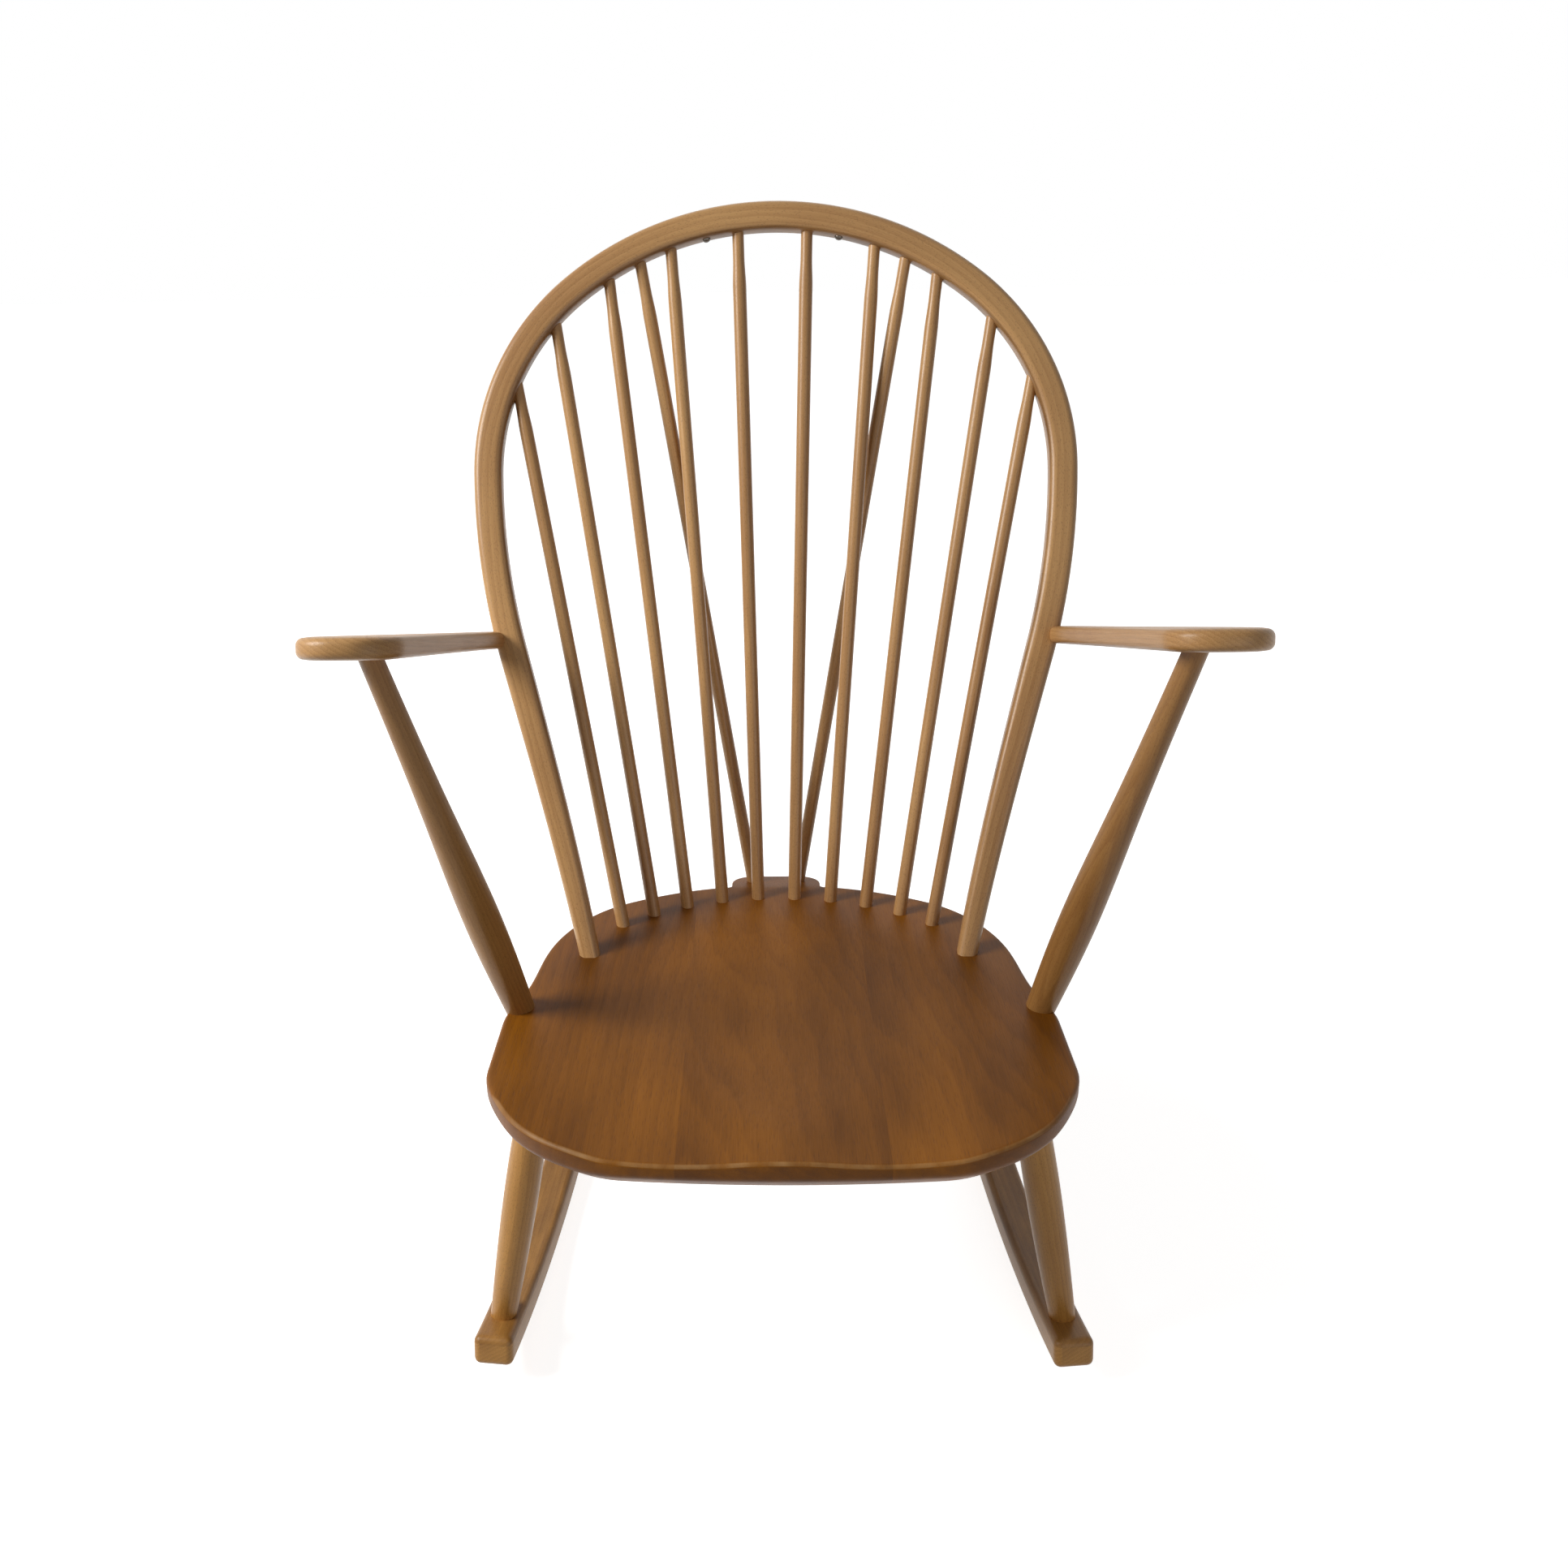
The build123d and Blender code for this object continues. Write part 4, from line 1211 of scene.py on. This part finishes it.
def shape_leg(side, start, foot):
    """Draws the selected end of the bow down to a foot on the seat, where it bends out a
    little and grows round, and on as a tenon through the seat."""
    seat, back = chair().seat, chair().back
    run = foot - start
    way = run.normalized()
    across = Vector((-way.y, way.x, 0)) * side
    stations = []
    for step in range(1, LEG_STEPS + 1):
        share = step / LEG_STEPS
        stations.append((share, back.foot_splay * share**3, leg_form(share)))
    through_seat = seat.thickness / cos(back.hoop_lean + seat.tilt) / run.length
    seated = 1 + FOOT_SEATING * through_seat
    tenon_form = (back.foot_tenon, back.foot_tenon, 1.0)
    stations.append((seated, back.foot_splay, leg_form(1)))
    stations.append((seated, 0.0, tenon_form))
    stations.append((1 + TENON_REACH * through_seat, 0.0, tenon_form))
    here, form = start, leg_form(0)
    for share, splay, next_form in stations:
        centre = start + run * share + across * splay
        extrude(centre - here)
        shape_selected(reformed, centre, across, form, next_form)
        here, form = centre, next_form


class CHAIR_OT_hoop(bpy.types.Operator):
    """Bend the hoop and draw its legs down to the seat"""

    bl_idname = "chair.hoop"
    bl_label = "Hoop"

    def execute(self, context):
        back, line = chair().back, hoop_line()
        right_end = Vector((line.end_x, line.end_y, 0))
        left_end = Vector((-line.end_x, line.end_y, 0))
        out = Vector((cos(back.flank_angle), -sin(back.flank_angle), 0))
        start = plane(right_end, out, out.cross(Vector((0, 0, 1))))
        piece = section("hoop_bent", back.hoop_width, back.hoop_depth, back.hoop_edge, start)
        shoulder_turn = pi / 2 - back.crown_half_angle
        spin((line.flank_x, line.shoulder_y), back.flank_angle, steps=14)
        spin((line.shoulder_x, line.shoulder_y), shoulder_turn, steps=36)
        spin((0, line.crown_y), 2 * back.crown_half_angle, steps=60)
        spin((-line.shoulder_x, line.shoulder_y), shoulder_turn, steps=36)
        spin((-line.flank_x, line.shoulder_y), back.flank_angle, steps=14)
        shape_leg(-1, left_end, Vector((-line.foot_x, 0, 0)))
        pick_faces(lambda middle: (middle - right_end).length < TOUCHING)
        shape_leg(1, right_end, Vector((line.foot_x, 0, 0)))
        close_up(piece)
        store_grain(piece, hoop_grain, HOOP_LOG, hoop_painted_light)
        lay(piece, hoop_plane())
        finish_piece(piece, "hoop", beech("Bow beech", coat=LACQUER_COAT))
        give_finish("hoop_foot_wedges", beech("Wedge beech", stored=False))
        return {"FINISHED"}


class CHAIR_OT_sticks(bpy.types.Operator):
    """Turn the back sticks and the two braces on the tail"""

    bl_idname = "chair.sticks"
    bl_label = "Sticks"

    def execute(self, context):
        back = chair().back
        thick, thin = back.stick_diameter / 2, back.tip_diameter / 2
        for number, (node, foot, top) in enumerate(stick_lines()):
            way = (top - foot).normalized()
            start = foot - way * back.socket_depth
            end = top + way * back.reach
            run = (end - start).length
            taper_ends = ((run - back.tip_taper, thick), (run - back.tip_length, thin))
            taper = smooth_curve(taper_ends, steps=8, start_way=(1, 0), end_way=(1, 0))
            profile = [(0.0, thick), (run / 3, thick), (2 * run / 3, thick), *taper, (run, thin)]
            finish = beech("Stick beech", coat=LACQUER_COAT)
            turned_piece(node, start, end, profile, STICK_LOG + number, finish)
        return {"FINISHED"}


# ---------------------------------------------------------------- arms
# How far in each step of an arm's dome lies from the last, and its share of the dome.
DOME_STEPS = ((0.001, 0.3), (0.002, 0.7), (0.002, 1.0))

# The radius of a plug's end, as a share of its own.
PLUG_END = 0.9


def arm_outline():
    """The right arm from above, with x across and -y forward."""
    arm = chair().arm
    inner = arm_inner_edge()
    outer = inner + arm.neck_width
    corner = arm.end_corner
    rear = arm.end_behind - corner
    radius = arm.front_radius
    front = radius - arm.front_reach
    left = arm.paddle_centre - arm.paddle_half_width
    right = arm.paddle_centre + arm.paddle_half_width
    inner_points = ((inner, rear), (arm.waist_inner, -arm.waist_reach), (left, front))
    outer_waist = arm.waist_inner + arm.waist_width
    outer_points = ((right, front), (outer_waist, -arm.waist_reach), (outer, rear))
    outline = smooth_curve(inner_points, steps=40, end_way=(0, -1))
    outline += arc((left + radius, front), radius, 180, 90, steps=12)[1:]
    outline += arc((right - radius, front), radius, 270, 90, steps=12)
    outline += smooth_curve(outer_points, steps=40, start_way=(0, 1))[1:]
    outline += arc((outer - corner, rear), corner, 0, 90, steps=6)[1:]
    outline += arc((inner + corner, rear), corner, 90, 90, steps=6)[:-1]
    return outline


def raised(point, height):
    """A point of an arm's top or underside, moved to a height from its middle."""
    return point.x, point.y, copysign(height, point.z)


def arm_blank(name):
    """The right arm in its own plane, domed a little above and below."""
    arm = chair().arm
    piece = start_outline(name, arm_outline(), -arm.thickness / 2)
    extrude((0, 0, arm.thickness))
    face_outwards()
    bevel_square_edges(arm.edge_radius, segments=6)
    rim = arm.thickness / 2 - WELD_DISTANCE
    pick_faces(lambda middle: abs(middle.z) > rim)
    for inset, share in DOME_STEPS:
        bpy.ops.mesh.inset(thickness=inset, depth=0)
        shape_selected(raised, rim + share * arm.crown)
    close_up(piece)
    return piece


def plug_line(side):
    """The inner and the outer end of the plug over an arm's screw."""
    arm = chair().arm
    outside = arm_inner_edge() + arm.neck_width
    inner = on_arm(side * (outside - arm.plug_length), arm.plug_reach)
    return inner, on_arm(side * (outside + arm.plug_proud), arm.plug_reach)


class CHAIR_OT_arms(bpy.types.Operator):
    """Shape the arms, lay them onto the hoop, and plug their screw holes"""

    bl_idname = "chair.arms"
    bl_label = "Arms"

    def execute(self, context):
        for name, side in SIDES:
            piece = arm_blank(f"arm_{name}_shaped")
            if side < 0:
                lay(piece, Matrix.Scale(-1, 4, (1, 0, 0)))
                close_up(piece)
            store_grain(piece, board_grain, ARM_LOG + side)
            lay(piece, arm_plane())
            finish_piece(piece, f"arm_{name}", beech("Arm beech"))
        arm = chair().arm
        radius = arm.plug_diameter / 2
        plugs = []
        for name, side in SIDES:
            inner, outer = plug_line(side)
            run = (outer - inner).length
            profile = [(0, radius), (run - arm.plug_bevel, radius), (run, radius * PLUG_END)]
            plug = turned(f"arm_screw_plug_{name}", profile, SMALL_TURNED_SIDES)
            store_grain(plug, board_grain, PLUG_LOG + side)
            lay(plug, place_along(inner, outer))
            plugs.append(plug)
        plug_pair = joined(plugs, "arm_screw_plugs_turned")
        finish_piece(plug_pair, "arm_screw_plugs", beech("Plug beech"))
        give_finish("arm_screws", metal("Screw steel", chair().finishes.steel, roughness=0.25))
        return {"FINISHED"}


class CHAIR_OT_arm_supports(bpy.types.Operator):
    """Turn the two supports between the seat and the arms"""

    bl_idname = "chair.arm_supports"
    bl_label = "Arm supports"

    def execute(self, context):
        arm = chair().arm
        lower = (arm.seating, arm.tenon_diameter, arm.tenon_length)
        upper = (arm.thickness / 4, arm.top_tenon_diameter, arm.top_tenon_length)
        for name, side in SIDES:
            foot = on_seat(side * arm.support_base, arm.support_setback)
            top = on_arm(side * arm.support_across, arm.support_reach, -arm.thickness / 2)
            body = (
                (0, arm.base_diameter),
                (arm.swell_height, arm.swell_diameter),
                (arm.neck_height, arm.neck_diameter),
                ((top - foot).length, arm.top_diameter),
            )
            profile = tenoned_profile(body, lower, upper)
            # The darker beech on the supports is painted shade.
            finish = beech("Shaded support beech", tone="support")
            turned_piece(f"arm_support_{name}", foot, top, profile, SUPPORT_LOG + side, finish)
        return {"FINISHED"}


# ---------------------------------------------------------------- rockers and legs
# The ends' edges are rounded a little less than the long edges, which run into them.
END_EDGE_SHARE = 0.97


class CHAIR_OT_rockers(bpy.types.Operator):
    """Bend the two rockers"""

    bl_idname = "chair.rockers"
    bl_label = "Rockers"

    def execute(self, context):
        base = chair().base
        front_sweep = asin(base.contact / base.rocker_radius)
        rear_sweep = asin((base.rocker_length - base.contact) / base.rocker_radius)
        middle_radius = base.rocker_radius - base.rocker_height / 2
        sole = base.rocker_edge - base.rocker_height / 2
        centre = Vector((base.contact, base.rocker_radius, 0))
        lowest = plane((0, -middle_radius, 0), (0, 1, 0), (1, 0, 0))
        front_end = Matrix.Translation(centre) @ Matrix.Rotation(-front_sweep, 4, "Z") @ lowest

        def grain(point):
            """Across, through and along the straight blank that a rocker was bent from."""
            reach = point - centre
            turn = atan2(reach.x, -reach.y)
            return point.z, reach.length - middle_radius, turn * middle_radius

        def painted_light(point):
            """Painted shade on the sole and the lower edges."""
            return SOLE_SHADE if grain(point)[1] < sole else 0.0

        for name, side in SIDES:
            piece = section(
                f"rocker_{name}_bent",
                base.rocker_height,
                base.rocker_width,
                base.rocker_edge,
                front_end,
            )
            spin(centre.xy, front_sweep + rear_sweep, steps=64)
            face_outwards()
            bevel_square_edges(base.rocker_edge * END_EDGE_SHARE, segments=5)
            close_up(piece)
            store_grain(piece, grain, ROCKER_LOG + side, painted_light)
            lay(piece, rocker_plane(side))
            finish_piece(piece, f"rocker_{name}", beech("Base beech", tone="base"))
        return {"FINISHED"}


class CHAIR_OT_legs(bpy.types.Operator):
    """Turn the four legs"""

    bl_idname = "chair.legs"
    bl_label = "Legs"

    def execute(self, context):
        seat, base = chair().seat, chair().base
        lower = (base.foot_seating, base.foot_tenon_diameter, base.foot_tenon_length)
        upper = (seat.thickness / 4, base.tenon_diameter, base.tenon_length)
        for name, side in SIDES:
            for node, log, foot, top in leg_lines(name, side):
                run = (top - foot).length
                body = (
                    (0, base.foot_diameter),
                    (base.swell_share * run, base.swell_diameter),
                    (run, base.top_diameter),
                )
                profile = tenoned_profile(body, lower, upper)
                turned_piece(node, foot, top, profile, log, beech("Base beech", tone="base"))
        return {"FINISHED"}


# ---------------------------------------------------------------- strap studs
# A stud's shank, as a share of its head.
SHANK_SHARE = 0.4


class CHAIR_OT_strap_studs(bpy.types.Operator):
    """Turn the two cushion strap studs under the crown"""

    bl_idname = "chair.strap_studs"
    bl_label = "Strap studs"

    def execute(self, context):
        back = chair().back
        head = back.stud_diameter / 2
        height = back.stud_height
        dome = arc((height, 0), height, 175, -85, steps=8)
        profile = [(up, out / height * head) for up, out in dome]
        profile += [(up, head * SHANK_SHARE) for up in (height, height + back.stud_shank)]
        studs = []
        for name, side in SIDES:
            under = on_hoop(back.stick_pitch, side, inward=back.hoop_width / 2)
            inside = on_hoop(back.stick_pitch, side)
            start = under - (inside - under).normalized() * height
            stud = turned(f"strap_stud_{name}", profile, SMALL_TURNED_SIDES)
            lay(stud, place_along(start, inside))
            studs.append(stud)
        finish = metal("Stud metal", chair().finishes.stud, roughness=0.2)
        finish_piece(joined(studs, "strap_studs_turned"), "strap_studs", finish)
        return {"FINISHED"}


# ---------------------------------------------------------------- stage
CAMERA_PLACE = (-0.01390, -1.17468, 1.07915)
CAMERA_PITCH = radians(26.109)
CAMERA_YAW = radians(-1.6877)
CAMERA_ROLL = radians(-1.1783)
FRAME_PIXELS = 1932
FOCAL_PIXELS = 1719.42
PRINCIPAL_PIXEL = (893.75, 939.62)
SENSOR_WIDTH = 36.0


def camera_ray_only(tree, seen, unseen):
    """One shader for what the camera, gloss and glass see, and another for the rest."""
    path = put(tree, "ShaderNodeLightPath")
    share = calc(tree, "MAXIMUM", path.outputs["Is Camera Ray"], path.outputs["Is Glossy Ray"])
    share = calc(tree, "MAXIMUM", share, path.outputs["Is Transmission Ray"])
    sockets = {0: share, 1: unseen.outputs[0], 2: seen.outputs[0]}
    return put(tree, "ShaderNodeMixShader", sockets).outputs[0]


def light_world(scene):
    """A world that looks white and lights the chair softly."""
    world = bpy.data.worlds.new("Studio")
    scene.world = world
    world.use_nodes = True
    tree = world.node_tree
    tree.nodes.clear()
    white = put(tree, "ShaderNodeBackground", {"Color": (1, 1, 1, 1), "Strength": 1.0})
    fill = put(tree, "ShaderNodeBackground", {"Color": (1, 0.98, 0.95, 1), "Strength": 0.11})
    put(tree, "ShaderNodeOutputWorld", {"Surface": camera_ray_only(tree, white, fill)})


def lay_floor():
    """A pale floor that takes the chair's shadow and fades to white round it."""
    floor = start_piece("floor", bpy.ops.mesh.primitive_plane_add, size=14)
    bpy.ops.object.mode_set(mode="OBJECT")
    material, tree, shader = new_material("Pale floor")
    place = put(tree, "ShaderNodeTexCoord").outputs["Object"]
    mottle = put(tree, "ShaderNodeTexNoise", {"Vector": place, "Scale": 3.0, "Detail": 2.0})
    tone = blend_colours(tree, mottle.outputs[0], (0.86, 0.86, 0.86), (0.9, 0.9, 0.9))
    tree.links.new(tone, shader.inputs["Base Color"])
    shader.inputs["Roughness"].default_value = 0.9
    shader.inputs["Specular IOR Level"].default_value = 0.1
    reach = put(tree, "ShaderNodeVectorMath", {0: place}, operation="LENGTH").outputs["Value"]
    fade = {"Value": reach, "From Min": 0.5, "From Max": 1.7, "To Min": 0.84, "To Max": 1.0}
    strength = put(tree, "ShaderNodeMapRange", fade).outputs[0]
    glow = put(tree, "ShaderNodeEmission", {"Strength": strength})
    lit = put(tree, "ShaderNodeAddShader", {0: shader.outputs[0], 1: glow.outputs[0]})
    dim = put(tree, "ShaderNodeBsdfDiffuse", {"Color": (0.3, 0.28, 0.25, 1)})
    surface = tree.nodes["Material Output"].inputs["Surface"]
    tree.links.new(camera_ray_only(tree, lit, dim), surface)
    floor.data.materials.append(material)


def area_light(name, energy, size, place, aim, tint=(1, 1, 1)):
    """A square lamp that shines from its place towards its aim."""
    light = bpy.data.lights.new(name, "AREA")
    light.energy = energy
    light.size = size
    light.color = tint
    lamp = bpy.data.objects.new(name, light)
    bpy.context.collection.objects.link(lamp)
    lamp.location = place
    lamp.rotation_euler = (Vector(aim) - Vector(place)).to_track_quat("-Z", "Y").to_euler()


def stand_camera(scene):
    """A camera in front of the chair, which looks down on it."""
    data = bpy.data.cameras.new("Camera")
    data.sensor_fit = "HORIZONTAL"
    data.sensor_width = SENSOR_WIDTH
    data.lens = FOCAL_PIXELS / FRAME_PIXELS * SENSOR_WIDTH
    data.shift_x = (FRAME_PIXELS / 2 - PRINCIPAL_PIXEL[0]) / FRAME_PIXELS
    data.shift_y = (PRINCIPAL_PIXEL[1] - FRAME_PIXELS / 2) / FRAME_PIXELS
    camera = bpy.data.objects.new("Camera", data)
    scene.collection.objects.link(camera)
    yaw = Matrix.Rotation(-CAMERA_YAW, 4, "Z")
    pitch = Matrix.Rotation(pi / 2 - CAMERA_PITCH, 4, "X")
    roll = Matrix.Rotation(CAMERA_ROLL, 4, "Z")
    camera.matrix_world = Matrix.Translation(CAMERA_PLACE) @ yaw @ pitch @ roll
    scene.camera = camera


class CHAIR_OT_stage(bpy.types.Operator):
    """Lay the floor, hang the lights and stand the camera"""

    bl_idname = "chair.stage"
    bl_label = "Stage"

    def execute(self, context):
        context.scene.view_settings.view_transform = "Standard"
        light_world(context.scene)
        lay_floor()
        warm = (1, 0.985, 0.96)
        area_light("Key", energy=72, size=1.1, place=(-2.2, -0.6, 2.0), aim=(0, 0, 0.45), tint=warm)
        area_light("Fill", energy=10, size=1.6, place=(1.6, -2.2, 0.7), aim=(0, 0, 0.3))
        area_light("Back", energy=5, size=1.6, place=(0.3, 2.2, 2.2), aim=(0, 0, 0.5))
        stand_camera(context.scene)
        return {"FINISHED"}


# ---------------------------------------------------------------- add-on
OPERATORS = (
    CHAIR_OT_seat,
    CHAIR_OT_hoop,
    CHAIR_OT_sticks,
    CHAIR_OT_arms,
    CHAIR_OT_arm_supports,
    CHAIR_OT_rockers,
    CHAIR_OT_legs,
    CHAIR_OT_strap_studs,
    CHAIR_OT_stage,
)


class CHAIR_PT_sidebar(bpy.types.Panel):
    """Lists the steps that make the chair, and its finishes"""

    bl_idname = "CHAIR_PT_sidebar"
    bl_label = "Rocking Chair"
    bl_space_type = "VIEW_3D"
    bl_region_type = "UI"
    bl_category = "Rocking Chair"

    def draw(self, context):
        column = self.layout.column()
        for operator in OPERATORS:
            column.operator(operator.bl_idname)
        settings = context.scene.rocking_chair
        for group in (settings.seat, settings.back, settings.arm, settings.base, settings.finishes):
            box = self.layout.box()
            for name in group.__annotations__:
                box.prop(group, name)


CLASSES = (
    SeatSizes,
    BackSizes,
    ArmSizes,
    BaseSizes,
    Finishes,
    ChairSettings,
    *OPERATORS,
    CHAIR_PT_sidebar,
)


def register():
    for made in CLASSES:
        bpy.utils.register_class(made)
    bpy.types.Scene.rocking_chair = PointerProperty(type=ChairSettings)


def unregister():
    del bpy.types.Scene.rocking_chair
    for made in reversed(CLASSES):
        bpy.utils.unregister_class(made)


def main():
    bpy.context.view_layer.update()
    register()
    bpy.ops.chair.seat()
    bpy.ops.chair.hoop()
    bpy.ops.chair.sticks()
    bpy.ops.chair.arms()
    bpy.ops.chair.arm_supports()
    bpy.ops.chair.rockers()
    bpy.ops.chair.legs()
    bpy.ops.chair.strap_studs()
    bpy.ops.chair.stage()


if __name__ == "__main__":
    main()
